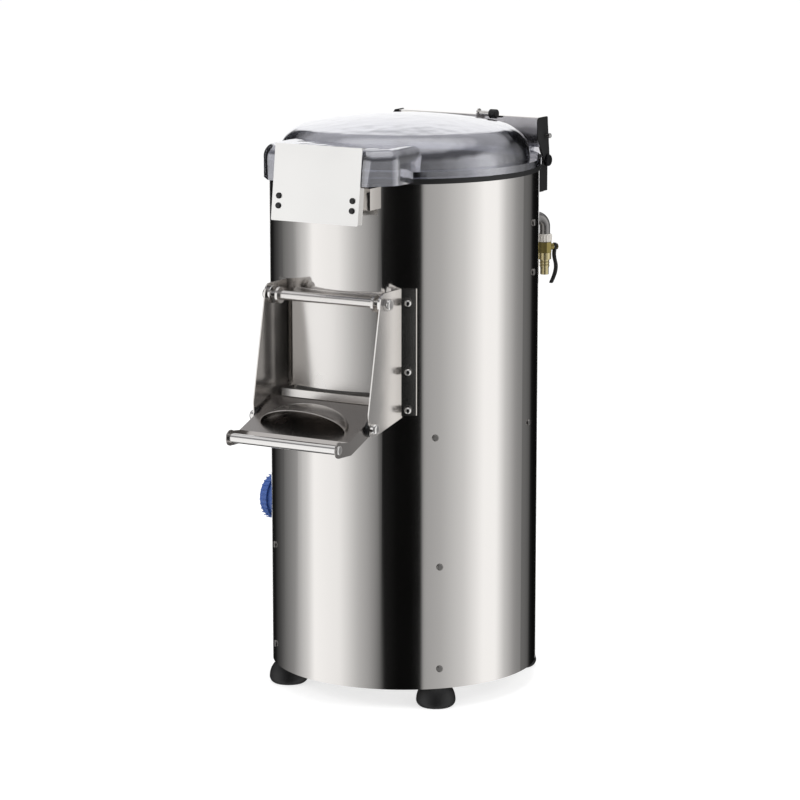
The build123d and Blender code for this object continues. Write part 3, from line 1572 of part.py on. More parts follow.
# Mains inlet: flanged barrel on the left side with an open socket and hinge ears for its cap
mains_plane = side_plane(-90, mains_height)
mains_hinge = (-mains_barrel_reach + mains_hinge_setback, mains_height + mains_flange_radius)
mains_ear_middle = mains_height + (mains_flange_radius + mains_barrel_radius) / 2
with BuildPart() as mains_inlet:
    with BuildSketch(mains_plane.offset(body_radius - mains_depth)):
        Circle(mains_flange_radius)
    extrude(amount=mains_depth + mains_flange)
    with BuildSketch(Plane.XY.offset(mains_height - 2 * mains_flange_radius)):
        Circle(flange_inner)
    extrude(amount=4 * mains_flange_radius, mode=Mode.SUBTRACT)
    with BuildSketch(mains_plane.offset(body_radius - mains_depth)):
        Circle(mains_barrel_radius)
    extrude(amount=mains_barrel_reach - body_radius + mains_depth)
    for side in (-1, 1):
        with BuildSketch(Plane.XZ.offset(side * mains_ear_in)):
            with Locations(mains_hinge):
                Circle(mains_ear_radius)
            with Locations((mains_hinge[0], mains_ear_middle)):
                Rectangle(2 * mains_ear_radius, mains_flange_radius - mains_barrel_radius + overrun)
        extrude(amount=side * mains_ear_width)
    with BuildSketch(Plane.XZ.offset(-mains_ear_in - mains_ear_width)):
        with Locations(mains_hinge):
            Circle(mains_pin_radius)
    extrude(amount=2 * (mains_ear_in + mains_ear_width))
    with BuildSketch(mains_plane.offset(mains_barrel_reach - mains_socket_depth)):
        Circle(mains_barrel_radius - mains_wall)
    extrude(amount=mains_socket_depth, mode=Mode.SUBTRACT)
finish(mains_inlet, "mains_inlet")

# Inlet pins: five contacts that stand in the socket's floor
with BuildPart() as inlet_pins:
    with BuildSketch(mains_plane.offset(mains_barrel_reach - mains_socket_depth + seat_gap)):
        with PolarLocations(mains_barrel_radius / 2, contact_count):
            Circle(contact_radius)
    extrude(amount=mains_socket_depth * 3 / 4)
    fillet(inlet_pins.edges().filter_by(GeomType.CIRCLE).group_by(Axis.X)[0], contact_radius / 2)
finish(inlet_pins, "inlet_pins")

# Inlet cap: hollow domed cap with an eye on the hinge pin
cap_start = mains_barrel_reach + seat_gap
with BuildPart() as inlet_cap:
    with BuildSketch(mains_plane.offset(cap_start)):
        Circle(mains_cap_radius)
    extrude(amount=mains_cap_depth)
    fillet(
        inlet_cap.edges().filter_by(GeomType.CIRCLE).sort_by(Axis.X)[0], mains_cap_depth * 3 / 4
    )
    with BuildSketch(mains_plane.offset(cap_start)):
        Circle(mains_barrel_radius - mains_wall)
    extrude(amount=mains_cap_depth / 2, mode=Mode.SUBTRACT)
    with BuildSketch(Plane.XZ.offset(seat_gap - mains_ear_in)):
        with Locations(mains_hinge):
            Circle(mains_ear_radius)
        with Locations((-cap_start - mains_ear_radius / 2, mains_height + mains_cap_radius)):
            Rectangle(mains_ear_radius, 2 * (mains_flange_radius - mains_cap_radius))
        with Locations((-mains_barrel_reach, mains_hinge[1])):
            Rectangle(2 * mains_hinge_setback, 2 * (mains_ear_radius - sheet))
        with Locations(mains_hinge):
            Circle(mains_pin_radius + running_gap, mode=Mode.SUBTRACT)
    extrude(amount=2 * (mains_ear_in - seat_gap))
finish(inlet_cap, "inlet_cap")


def button_rim(plane):
    """Flange round a button on the outside of the shell."""
    with BuildPart() as rim:
        with BuildSketch(plane.offset(body_radius - overrun)):
            ring(button_radius + button_rim_width, button_radius + sheet / 2)
        extrude(amount=overrun + button_flange)
        with BuildSketch(Plane.XY):
            Circle(flange_inner)
        extrude(amount=shell_height, mode=Mode.SUBTRACT)
    return rim.part


# Push buttons on the hidden side: guide tubes with flanges, one button in each
button_tube_start = body_radius - button_tube_depth
with BuildPart() as button_bezels:
    for button_height in button_heights:
        button_plane = side_plane(button_azimuth, button_height)
        with BuildSketch(button_plane.offset(button_tube_start)):
            Circle(button_radius + sheet)
        extrude(amount=button_tube_depth + button_flange)
        add(button_rim(button_plane))
        with BuildSketch(button_plane.offset(button_tube_start)):
            Circle(button_radius + running_gap)
        extrude(amount=button_tube_depth + button_flange, mode=Mode.SUBTRACT)
finish(button_bezels, "button_bezels")

button_names = ("start_button", "stop_button")
for button_name, button_height, proud in zip(button_names, button_heights, button_reaches):
    button_plane = side_plane(button_azimuth, button_height)
    with BuildPart() as button:
        with BuildSketch(button_plane.offset(button_tube_start - button_travel - sheet)):
            Circle(button_radius)
        extrude(amount=button_tube_depth + button_travel + sheet + proud)
        with BuildSketch(button_plane.offset(button_tube_start - seat_gap - sheet)):
            Circle(button_radius + thin_sheet)
        extrude(amount=sheet)
        chamfer(button.edges().filter_by(GeomType.CIRCLE).sort_by(Axis.X)[0], seat_gap)
    finish(button, button_name)
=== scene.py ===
import math

import bpy
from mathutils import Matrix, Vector


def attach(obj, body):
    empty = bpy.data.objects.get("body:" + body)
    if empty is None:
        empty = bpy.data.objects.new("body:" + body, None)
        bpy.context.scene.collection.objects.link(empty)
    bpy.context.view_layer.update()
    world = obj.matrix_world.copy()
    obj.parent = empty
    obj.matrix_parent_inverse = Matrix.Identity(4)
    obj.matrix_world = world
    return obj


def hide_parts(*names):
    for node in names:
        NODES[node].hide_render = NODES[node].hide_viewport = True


bl_info = {
    "name": "Potato peeling machine",
    "version": (1, 0, 0),
    "blender": (4, 5, 0),
    "location": "View3D > Sidebar > Peeler",
    "description": "Dresses the potato peeling machine: finishes, small parts and a studio",
    "category": "Object",
}

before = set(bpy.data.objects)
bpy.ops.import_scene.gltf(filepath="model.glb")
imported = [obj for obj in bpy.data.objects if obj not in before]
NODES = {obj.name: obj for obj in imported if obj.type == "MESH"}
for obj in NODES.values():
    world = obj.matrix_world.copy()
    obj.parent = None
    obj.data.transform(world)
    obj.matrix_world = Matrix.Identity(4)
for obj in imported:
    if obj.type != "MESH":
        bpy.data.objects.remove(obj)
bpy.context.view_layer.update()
MM = 0.001
# Faces that meet at less than this angle are shaded as one surface
SMOOTH_ANGLE = math.radians(35)
# Points of a turned piece, and of the grip ribs, that lie closer than this are merged
RING_MERGE = 0.01 * MM
RIB_MERGE = 0.001 * MM
# Colour sockets of a Mix node, by number because its other types share their names
MIX_A, MIX_B, MIX_RESULT = 6, 7, 2


# Helpers

def linear(code):
    """Linear colour of an sRGB hex code, with full alpha."""
    channels = srgb(code)
    return [c / 12.92 if c <= 0.04045 else ((c + 0.055) / 1.055) ** 2.4 for c in channels] + [1.0]


def hex_of(colour):
    """sRGB hex code of a colour property, which holds sRGB values."""
    return "#" + "".join(f"{round(c * 255):02x}" for c in colour)


def srgb(code):
    """Three sRGB values, from 0 to 1, of a hex code."""
    return [int(code[i:i + 2], 16) / 255 for i in (1, 3, 5)]


def add_node(tree, kind, settings=None, links=None):
    """Adds a node, sets its attributes and sockets, and links inputs to other nodes' outputs."""
    node = tree.nodes.new(kind)
    for key, value in (settings or {}).items():
        if isinstance(key, str) and hasattr(node, key):
            setattr(node, key, value)
        else:
            node.inputs[key].default_value = value
    for socket, (source, output) in (links or {}).items():
        tree.links.new(source.outputs[output], node.inputs[socket])
    return node


def new_material(name):
    """Empty node material with its output."""
    material = bpy.data.materials.new(name)
    material.use_nodes = True
    tree = material.node_tree
    tree.nodes.clear()
    return material, tree, add_node(tree, "ShaderNodeOutputMaterial")


def dress(material, *names):
    """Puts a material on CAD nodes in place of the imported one."""
    for name in names:
        slots = NODES[name].data.materials
        slots.clear()
        slots.append(material)


def deselect():
    """Leaves edit mode and selects nothing."""
    if bpy.context.object and bpy.context.object.mode != "OBJECT":
        bpy.ops.object.mode_set(mode="OBJECT")
    bpy.ops.object.select_all(action="DESELECT")


def modify(piece, kind, **settings):
    """Adds a modifier with its settings and applies it."""
    modifier = piece.modifiers.new(kind.lower(), kind)
    for key, value in settings.items():
        setattr(modifier, key, value)
    bpy.ops.object.modifier_apply(modifier=modifier.name)


def settle(piece, name, body, material, spot=(0, 0, 0), turn=(0, 0, 0)):
    """Turns and moves a piece into place, applies that, and gives it a finish and a body."""
    deselect()
    piece.select_set(True)
    bpy.context.view_layer.objects.active = piece
    piece.rotation_euler = turn
    piece.location = Vector(piece.location) + Vector(spot) * MM
    bpy.ops.object.transform_apply(location=True, rotation=True, scale=True)
    bpy.ops.object.shade_smooth_by_angle(angle=SMOOTH_ANGLE)
    piece.name = name
    piece.data.materials.clear()
    piece.data.materials.append(material)
    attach(piece, body)


def turned(profile, count):
    """Shape about Z with count sides: each ring of (radius, height) in mm extends the last."""
    deselect()
    bpy.ops.mesh.primitive_circle_add(
        vertices=count, radius=profile[0][0] * MM, location=(0, 0, 0),
    )
    piece = bpy.context.object
    bpy.ops.object.mode_set(mode="EDIT")
    bpy.ops.mesh.select_mode(type="VERT")
    bpy.ops.mesh.select_all(action="SELECT")
    bpy.ops.transform.translate(value=(0, 0, profile[0][1] * MM))
    for (radius, height), (next_radius, next_height) in zip(profile, profile[1:]):
        bpy.ops.mesh.extrude_region_move(
            TRANSFORM_OT_translate={"value": (0, 0, (next_height - height) * MM)},
        )
        share = next_radius / radius
        bpy.ops.transform.resize(value=(share, share, 1), center_override=(0, 0, 0))
    bpy.ops.mesh.select_all(action="SELECT")
    bpy.ops.mesh.remove_doubles(threshold=RING_MERGE)
    bpy.ops.mesh.fill_holes(sides=0)
    bpy.ops.mesh.normals_make_consistent(inside=False)
    bpy.ops.object.mode_set(mode="OBJECT")
    return piece


def block(low, high, bevel, cuts=(), segments=3):
    """Box between two corners in mm, cut off beyond planes of (point, normal), edges rounded."""
    deselect()
    middle = [(a + b) / 2 * MM for a, b in zip(low, high)]
    bpy.ops.mesh.primitive_cube_add(size=1.0, location=middle)
    piece = bpy.context.object
    piece.scale = [(b - a) * MM for a, b in zip(low, high)]
    bpy.ops.object.transform_apply(location=True, rotation=True, scale=True)
    bpy.ops.object.mode_set(mode="EDIT")
    for point, normal in cuts:
        bpy.ops.mesh.select_all(action="SELECT")
        bpy.ops.mesh.bisect(
            plane_co=[c * MM for c in point], plane_no=normal, use_fill=True, clear_outer=True,
        )
    bpy.ops.object.mode_set(mode="OBJECT")
    modify(piece, "BEVEL", width=bevel * MM, segments=segments, limit_method="ANGLE")
    return piece


# Finishes

# Noise cells per metre: clouding of sheet, mottle of mouldings, wear spots on bar
CLOUD_SCALE = 9.0
MOTTLE_SCALE = 30.0
SPOT_SCALE = 160.0
# Polishing lines are this many times as long as they are wide
LINE_STRETCH = 60
# Least and most roughness of sheet and of bar, as shares of the stated one
SHEET_SPREAD = (0.8, 1.25)
BAR_SPREAD = (0.7, 1.4)
# Abrasive grains: width and depth
GRAIN_MM = 1.5
GRAIN_DEPTH_MM = 0.5
# Clear lid: depth of its flow marks, its range of roughness, and the share of mirroring skin
# in a straight and in a glancing view
FLOW_DEPTH_MM = 1.1
LID_ROUGHNESS = (0.04, 0.14)
MIRROR_SHARE = (0.22, 0.96)
# Darker tone in the mottle of the blue mains inlet
BLUE_SHADE = "#34519a"


def polished_steel(name, colour, roughness, line_mm, line_depth, sway_depth=0.0, along=2):
    """Rolled stainless sheet: fine polishing lines along an axis, clouding, a slight sway."""
    material, tree, out = new_material(name)
    place = add_node(tree, "ShaderNodeTexCoord")
    across = 1 / (line_mm * MM)
    stretch = add_node(
        tree, "ShaderNodeMapping",
        {"Scale": [across / LINE_STRETCH if axis == along else across for axis in range(3)]},
        {"Vector": (place, "Object")},
    )
    lines = add_node(
        tree, "ShaderNodeTexNoise", {"Scale": 1.0, "Detail": 3.0, "Roughness": 0.6},
        {"Vector": (stretch, "Vector")},
    )
    clouds = add_node(
        tree, "ShaderNodeTexNoise", {"Scale": CLOUD_SCALE, "Detail": 2.0},
        {"Vector": (place, "Object")},
    )
    gloss = add_node(
        tree, "ShaderNodeMapRange",
        {"To Min": roughness * SHEET_SPREAD[0], "To Max": roughness * SHEET_SPREAD[1]},
        {"Value": (clouds, "Fac")},
    )
    sway = add_node(
        tree, "ShaderNodeBump", {"Strength": 1.0, "Distance": sway_depth * MM},
        {"Height": (clouds, "Fac")},
    )
    bump = add_node(
        tree, "ShaderNodeBump", {"Strength": 0.25, "Distance": line_depth * MM},
        {"Height": (lines, "Fac"), "Normal": (sway, "Normal")},
    )
    shader = add_node(
        tree, "ShaderNodeBsdfPrincipled", {"Base Color": linear(colour), "Metallic": 1.0},
        {"Roughness": (gloss, "Result"), "Normal": (bump, "Normal")},
    )
    tree.links.new(shader.outputs["BSDF"], out.inputs["Surface"])
    return material


def turned_steel(name, colour, roughness):
    """Turned or drawn bright bar: smooth, with faint wear spots."""
    material, tree, out = new_material(name)
    place = add_node(tree, "ShaderNodeTexCoord")
    spots = add_node(
        tree, "ShaderNodeTexNoise", {"Scale": SPOT_SCALE, "Detail": 2.0},
        {"Vector": (place, "Object")},
    )
    gloss = add_node(
        tree, "ShaderNodeMapRange",
        {"To Min": roughness * BAR_SPREAD[0], "To Max": roughness * BAR_SPREAD[1]},
        {"Value": (spots, "Fac")},
    )
    shader = add_node(
        tree, "ShaderNodeBsdfPrincipled", {"Base Color": linear(colour), "Metallic": 1.0},
        {"Roughness": (gloss, "Result")},
    )
    tree.links.new(shader.outputs["BSDF"], out.inputs["Surface"])
    return material


def moulded(name, colour, dark, roughness, grain_mm, depth_mm, coat=0.0):
    """Moulded rubber or plastic: one colour a little mottled, fine grain from the mould."""
    material, tree, out = new_material(name)
    place = add_node(tree, "ShaderNodeTexCoord")
    grain = add_node(
        tree, "ShaderNodeTexNoise", {"Scale": 1 / (grain_mm * MM), "Detail": 2.0},
        {"Vector": (place, "Object")},
    )
    mottle = add_node(
        tree, "ShaderNodeTexNoise", {"Scale": MOTTLE_SCALE, "Detail": 3.0},
        {"Vector": (place, "Object")},
    )
    tint = add_node(
        tree, "ShaderNodeMix",
        {"data_type": "RGBA", MIX_A: linear(dark), MIX_B: linear(colour)},
        {0: (mottle, "Fac")},
    )
    bump = add_node(
        tree, "ShaderNodeBump", {"Strength": 0.4, "Distance": depth_mm * MM},
        {"Height": (grain, "Fac")},
    )
    shader = add_node(
        tree, "ShaderNodeBsdfPrincipled", {"Roughness": roughness, "Coat Weight": coat},
        {"Base Color": (tint, MIX_RESULT), "Normal": (bump, "Normal")},
    )
    tree.links.new(shader.outputs["BSDF"], out.inputs["Surface"])
    return material


def grit_layer(name, colour, dark):
    """Abrasive grit in resin: dark grey grains, rough all over."""
    material, tree, out = new_material(name)
    place = add_node(tree, "ShaderNodeTexCoord")
    grains = add_node(
        tree, "ShaderNodeTexVoronoi", {"Scale": 1 / (GRAIN_MM * MM)},
        {"Vector": (place, "Object")},
    )
    tint = add_node(
        tree, "ShaderNodeMix",
        {"data_type": "RGBA", MIX_A: linear(dark), MIX_B: linear(colour)},
        {0: (grains, "Color")},
    )
    bump = add_node(
        tree, "ShaderNodeBump", {"Strength": 0.8, "Distance": GRAIN_DEPTH_MM * MM},
        {"Height": (grains, "Distance")},
    )
    shader = add_node(
        tree, "ShaderNodeBsdfPrincipled", {"Roughness": 0.85},
        {"Base Color": (tint, MIX_RESULT), "Normal": (bump, "Normal")},
    )
    tree.links.new(shader.outputs["BSDF"], out.inputs["Surface"])
    return material


def clear_lid(name, cast, gleam, flow_mm):
    """Moulded polycarbonate: see-through with a faint cast, and a skin that mirrors the room."""
    material, tree, out = new_material(name)
    place = add_node(tree, "ShaderNodeTexCoord")
    # Flow marks of the moulding, which make reflections in the lid waver
    flow = add_node(
        tree, "ShaderNodeTexNoise",
        {"Scale": 1 / (flow_mm * MM), "Detail": 1.0, "Roughness": 0.4},
        {"Vector": (place, "Object")},
    )
    bump = add_node(
        tree, "ShaderNodeBump", {"Strength": 1.0, "Distance": FLOW_DEPTH_MM * MM},
        {"Height": (flow, "Fac")},
    )
    gloss = add_node(
        tree, "ShaderNodeMapRange",
        {"To Min": LID_ROUGHNESS[0], "To Max": LID_ROUGHNESS[1]}, {"Value": (flow, "Fac")},
    )
    glancing = add_node(
        tree, "ShaderNodeLayerWeight", {"Blend": 0.5}, {"Normal": (bump, "Normal")},
    )
    share = add_node(
        tree, "ShaderNodeMapRange",
        {"To Min": MIRROR_SHARE[0], "To Max": MIRROR_SHARE[1]}, {"Value": (glancing, "Facing")},
    )
    clear = add_node(tree, "ShaderNodeBsdfTransparent", {"Color": linear(cast)})
    skin = add_node(
        tree, "ShaderNodeBsdfPrincipled", {"Base Color": linear(gleam), "Metallic": 1.0},
        {"Roughness": (gloss, "Result"), "Normal": (bump, "Normal")},
    )
    mix = add_node(
        tree, "ShaderNodeMixShader", {},
        {0: (share, "Result"), 1: (clear, "BSDF"), 2: (skin, "BSDF")},
    )
    tree.links.new(mix.outputs["Shader"], out.inputs["Surface"])
    return material


# Settings

def colour_setting(name, description, code):
    """Colour property that holds sRGB values."""
    return bpy.props.FloatVectorProperty(
        name=name, description=description, subtype="COLOR_GAMMA", size=3, min=0, max=1,
        default=srgb(code),
    )


def length_setting(name, description, size_mm):
    """Length property in metres, its default given in mm."""
    return bpy.props.FloatProperty(
        name=name, description=description, default=size_mm * MM, min=0, unit="LENGTH",
        precision=4,
    )


class PeelerFinishes(bpy.types.PropertyGroup):
    """Colours of the finishes, as sRGB values."""

    steel: colour_setting("Steel", "Colour of the stainless sheet", "#e6e3e0")
    # Tray: the steel's colour darkened, painted shade for the shade and dark reflections on the
    # chute tray
    tray: colour_setting("Tray", "Colour of the brushed tray", "#b4b0ad")
    plate: colour_setting("Front plate", "Colour of the brushed front plate", "#f7f6f4")
    bright: colour_setting("Bright steel", "Colour of bars, nuts and pins", "#eae8e6")
    pipe: colour_setting("Water pipe", "Colour of the plated water elbow", "#918f8e")
    lid: colour_setting("Lid", "Cast of the clear lid", "#e4e5ea")
    gleam: colour_setting("Lid gleam", "Tone of the reflections in the lid", "#e9e9ee")
    rubber: colour_setting("Rubber", "Colour of seals and feet", "#161617")
    brass: colour_setting("Brass", "Colour of the water valve", "#8f8250")
    blue: colour_setting("Mains inlet", "Colour of the mains inlet", "#40609c")


class PeelerPieces(bpy.types.PropertyGroup):
    """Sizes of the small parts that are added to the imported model."""

    end_cap: length_setting("Hinge end cap", "Thickness of the caps on the hinge's ends", 1.8)
    lever_width: length_setting("Lever width", "Width of the valve lever's vinyl sleeve", 7.4)
    seam_width: length_setting("Shell seam", "Width of the weld bead down the shell's back", 3.0)
    rib_count: bpy.props.IntProperty(
        name="Cap ribs", description="Grip ribs around the mains cap", default=28, min=3,
    )


class PeelerStage(bpy.types.PropertyGroup):
    """Camera and light of the studio."""

    camera_distance: bpy.props.FloatProperty(
        name="Camera distance", description="From the drum's axis, along the floor",
        default=4.8, min=1.0, unit="LENGTH",
    )
    camera_height: bpy.props.FloatProperty(
        name="Camera height", description="Above the floor", default=1.351, unit="LENGTH",
    )
    camera_turn: bpy.props.FloatProperty(
        name="Camera turn", description="Round the drum's axis from the front",
        default=math.radians(30.0), subtype="ANGLE", unit="ROTATION",
    )
    camera_tilt: bpy.props.FloatProperty(
        name="Camera tilt", description="Below the horizon",
        default=math.radians(10.94), subtype="ANGLE", unit="ROTATION",
    )
    light_power: bpy.props.FloatProperty(
        name="Light power", description="Power of the main lamp", default=60.0, min=0.0,
        unit="POWER",
    )


def finishes():
    """The scene's finish settings."""
    return bpy.context.scene.peeler_finishes


def sizes():
    """The scene's sizes of the added parts."""
    return bpy.context.scene.peeler_pieces


class PEELER_OT_steelwork(bpy.types.Operator):
    """Finishes the stainless sheet parts"""

    bl_idname = "peeler.steelwork"
    bl_label = "Steelwork"

    def execute(self, context):
        colour = hex_of(finishes().steel)
        # Mirror-polished rolled sheet: long sharp reflections with faint upright lines
        mirror = polished_steel("polished_stainless_sheet", colour, 0.09, 1.2, 0.01)
        dress(mirror, "outer_shell", "rim_ring")
        # Polished folded sheet: as bright, with a slight sway where it was bent
        folded = polished_steel("polished_folded_sheet", colour, 0.11, 1.0, 0.01, 2.5)
        dress(folded, "lid_cover", "hinge_bracket", "switch_brackets")
        # Chute sheet rubbed by hands and potatoes: softer reflections than the drum's
        rubbed = polished_steel("rubbed_chute_sheet", colour, 0.2, 0.8, 0.015, 1.2)
        dress(rubbed, "cheek_left", "cheek_right")
        # Door and its frame, brushed upright: reflections blur into soft shade
        brushed = polished_steel("brushed_door_sheet", colour, 0.25, 0.6, 0.02)
        dress(brushed, "door", "outlet_collar")
        # Brushed sheet: satin, reflections spread across the brushing
        satin = polished_steel("brushed_stainless_sheet", colour, 0.26, 0.6, 0.02)
        dress(satin, "chamber_floor", "peeling_drum", "base_plate", "motor_stand", "drain_pipe")
        # Pressed tray sheet, brushed from side to side: the steel's colour darkened, painted
        # shade for the tray's dark reflections
        shaded_tray_colour = hex_of(finishes().tray)
        tray = polished_steel("brushed_tray_sheet_painted_shade", shaded_tray_colour, 0.24, 0.6, 0.01, along=0)
        dress(tray, "chute_tray")
        # Front plate: pale and satin, brushed upright
        plate = polished_steel("brushed_front_plate", hex_of(finishes().plate), 0.32, 0.6, 0.02)
        dress(plate, "front_plate")
        return {"FINISHED"}


class PEELER_OT_bright_parts(bpy.types.Operator):
    """Finishes bars, nuts, bolts, shafts and bearings"""

    bl_idname = "peeler.bright_parts"
    bl_label = "Bright parts"

    def execute(self, context):
        # Turned and polished bar: mirror-like, small bright glints
        bright = turned_steel("turned_stainless_bar", hex_of(finishes().bright), 0.14)
        dress(
            bright, "door_bar", "bar_washers", "bar_cap_nuts", "tray_handle", "tray_pivots",
            "cheek_bolts", "hub_nut", "spindle", "spindle_bearings", "motor_shaft", "valve_ball",
        )
        # Pressed screws left as made: greyer and duller than the sheet around them
        screw = turned_steel("pressed_steel_screws", "#8f8d8b", 0.32)
        dress(screw, "shell_screws", "foot_bolts")
        # Blackened steel: dark with a dull gleam
        black = turned_steel("blackened_steel", "#2a2a2b", 0.36)
        dress(black, "hinge_pin")
        # Plated pipe: grey and satin
        pipe = turned_steel("plated_water_pipe", hex_of(finishes().pipe), 0.28)
        dress(pipe, "inlet_pipe")
        # Machined cast iron: dark grey, dull
        iron = turned_steel("machined_cast_iron", "#6c6b6a", 0.5)
        dress(iron, "bearing_housing", "spindle_pulley", "motor_pulley")
        # Cast aluminium: pale grey, dull
        alloy = turned_steel("cast_aluminium", "#b9b9ba", 0.42)
        dress(alloy, "turntable")
        # Turned brass gone a little olive: warm, satin
        brass = turned_steel("turned_brass", hex_of(finishes().brass), 0.30)
        dress(brass, "valve_body", "spray_nozzle", "inlet_pins")
        # Fresh turned brass: paler and brighter
        pale = turned_steel("pale_turned_brass", "#cfc296", 0.26)
        dress(pale, "hose_tail")
        return {"FINISHED"}


class PEELER_OT_moulded_parts(bpy.types.Operator):
    """Finishes rubber, plastic, paint and grit"""

    bl_idname = "peeler.moulded_parts"
    bl_label = "Moulded parts"

    def execute(self, context):
        # Moulded nitrile rubber: near black, soft broad sheen, fine grain
        rubber_colour = hex_of(finishes().rubber)
        rubber = moulded("moulded_black_rubber", rubber_colour, "#0e0e0f", 0.5, 0.8, 0.05)
        dress(rubber, "rim_gasket", "rubber_feet", "shaft_seal", "lid_buffer", "drive_belt")
        # Food-grade silicone: pale grey, soft
        silicone = moulded("moulded_grey_silicone", "#8e8c8a", "#828180", 0.5, 0.8, 0.03)
        dress(silicone, "door_seal")
        # Glass-filled nylon: black, tighter sheen than rubber
        nylon = moulded("moulded_black_nylon", "#161617", "#0f0f10", 0.38, 0.5, 0.02)
        dress(nylon, "tray_spacers", "plate_screws", "lid_magnets", "lid_screws", "button_bezels")
        # Blue polyamide: the usual colour of such mains inlets, satin
        blue_colour = hex_of(finishes().blue)
        blue = moulded("moulded_blue_polyamide", blue_colour, BLUE_SHADE, 0.36, 0.6, 0.03)
        dress(blue, "mains_inlet", "inlet_cap")
        # White nylon: slightly warm, satin
        white = moulded("moulded_white_nylon", "#d2cec8", "#c6c1ba", 0.35, 0.6, 0.02)
        dress(white, "union_nut")
        # Glossy button caps in the two usual colours
        green = moulded("moulded_green_cap", "#1c8a3c", "#187a35", 0.25, 0.5, 0.01, 0.3)
        dress(green, "start_button")
        red = moulded("moulded_red_cap", "#b01818", "#9c1414", 0.25, 0.5, 0.01, 0.3)
        dress(red, "stop_button")
        # Motor enamel over casting: slate grey, glossy, a little lumpy
        paint = moulded("enamelled_motor_paint", "#3f4a54", "#37424b", 0.4, 1.2, 0.05, 0.4)
        dress(paint, "motor")
        # Grit bonded to the drum's lining and to the turning disc
        grit = grit_layer("bonded_abrasive_grit", "#5a5754", "#2b2a29")
        dress(grit, "drum_lining", "abrasive_disc")
        return {"FINISHED"}


class PEELER_OT_lid(bpy.types.Operator):
    """Finishes the clear lid"""

    bl_idname = "peeler.lid"
    bl_label = "Clear lid"

    def execute(self, context):
        # Clear polycarbonate: reflections waver with flow marks about 28 mm across
        cast, gleam = hex_of(finishes().lid), hex_of(finishes().gleam)
        clear = clear_lid("clear_polycarbonate", cast, gleam, 28.0)
        dress(clear, "lid_dome")
        return {"FINISHED"}


# Valve in mm: its axis in X and Y, and the way that its lever faces
VALVE_AXIS = (134.8, 192.5)
VALVE_TURN = math.radians(55.0)
# Lever and nut in mm: reach outwards from the valve's axis and height above the floor, and the
# nut's rings of radius and height
LEVER_PATH = (
    (17.4, 646.4), (17.2, 637.0), (15.8, 630.0), (16.8, 622.5), (19.2, 615.0), (19.8, 607.5),
    (17.8, 599.0), (14.4, 591.0), (11.0, 584.6),
)
LEVER_THICKNESS_SHARE = 0.58
LEVER_EDGE_MM = 1.1
NUT_PLACE = (18.6, 640.5)
NUT_RINGS = ((1.2, 0.0), (4.4, 0.0), (4.9, 0.5), (4.9, 2.6), (4.2, 3.2), (1.2, 3.2))
NUT_SIDES = 6


def by_valve(reach, height):
    """Point in mm: reach outwards from the valve's axis the way its lever faces, and height."""
    return (
        VALVE_AXIS[0] + reach * math.cos(VALVE_TURN),
        VALVE_AXIS[1] + reach * math.sin(VALVE_TURN),
        height,
    )


class PEELER_OT_lever(bpy.types.Operator):
    """Bends the valve lever from bar in a dipped vinyl sleeve, with its nut"""

    bl_idname = "peeler.lever"
    bl_label = "Valve lever"

    def execute(self, context):
        width = sizes().lever_width
        # Dipped vinyl: black with a soft, broad sheen
        vinyl = moulded("dipped_black_vinyl", "#0c0c0d", "#070708", 0.42, 1.5, 0.04)
        deselect()
        start = by_valve(*LEVER_PATH[0])
        bpy.ops.mesh.primitive_plane_add(size=1.0, location=[c * MM for c in start])
        lever = context.object
        lever.rotation_euler = (0, 0, VALVE_TURN)
        lever.scale = (LEVER_THICKNESS_SHARE * width, width, 1)
        bpy.ops.object.transform_apply(location=True, rotation=True, scale=True)
        bpy.ops.object.mode_set(mode="EDIT")
        for here, there in zip(LEVER_PATH, LEVER_PATH[1:]):
            step = [(b - a) * MM for a, b in zip(by_valve(*here), by_valve(*there))]
            bpy.ops.mesh.select_all(action="DESELECT")
            bpy.ops.mesh.select_mode(type="FACE")
            bpy.ops.object.mode_set(mode="OBJECT")
            lowest = min(lever.data.polygons, key=lambda face: face.center.z)
            lowest.select = True
            bpy.ops.object.mode_set(mode="EDIT")
            bpy.ops.mesh.extrude_region_move(TRANSFORM_OT_translate={"value": step})
        bpy.ops.mesh.select_all(action="SELECT")
        bpy.ops.mesh.normals_make_consistent(inside=False)
        bpy.ops.object.mode_set(mode="OBJECT")
        modify(lever, "BEVEL", width=LEVER_EDGE_MM * MM, segments=2, limit_method="ANGLE")
        modify(lever, "SUBSURF", levels=2, render_levels=2)
        settle(lever, "valve_lever_sleeved", "valve", vinyl)
        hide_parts("valve_lever")
        # Old brass nut: brown-olive, dull
        aged = turned_steel("aged_brass_nut", "#5a543a", 0.42)
        nut = turned(NUT_RINGS, NUT_SIDES)
        settle(
            nut, "valve_lever_nut", "valve", aged, by_valve(*NUT_PLACE),
            (0, math.pi / 2, VALVE_TURN),
        )
        return {"FINISHED"}


# Hinge end caps in mm: X of the inner face, two corners in Y and Z, the planes of (point,
# normal) that cut the outline, and the width of the rounded edge
COVER_END_X = 124.2
COVER_END_LOW = (184.0, 762.0)
COVER_END_HIGH = (224.8, 837.0)
COVER_END_CUTS = (
    ((0, 184.0, 834.0), (0, -0.6, 0.8)),
    ((0, 184.0, 808.0), (0, -0.85, -0.52)),
    ((0, 216.0, 835.0), (0, 0.7, 0.7)),
    ((0, 217.0, 830.0), (0, 0.993, 0.121)),
)
COVER_END_EDGE = 0.7
BRACKET_END_X = 120.2
BRACKET_END_LOW = (164.0, 723.0)
BRACKET_END_HIGH = (224.6, 778.6)
BRACKET_END_CUTS = (((0, 164.0, 744.0), (0, -0.57, 0.82)), ((0, 223.0, 776.0), (0, 0.7, 0.7)))
BRACKET_END_EDGE = 0.6
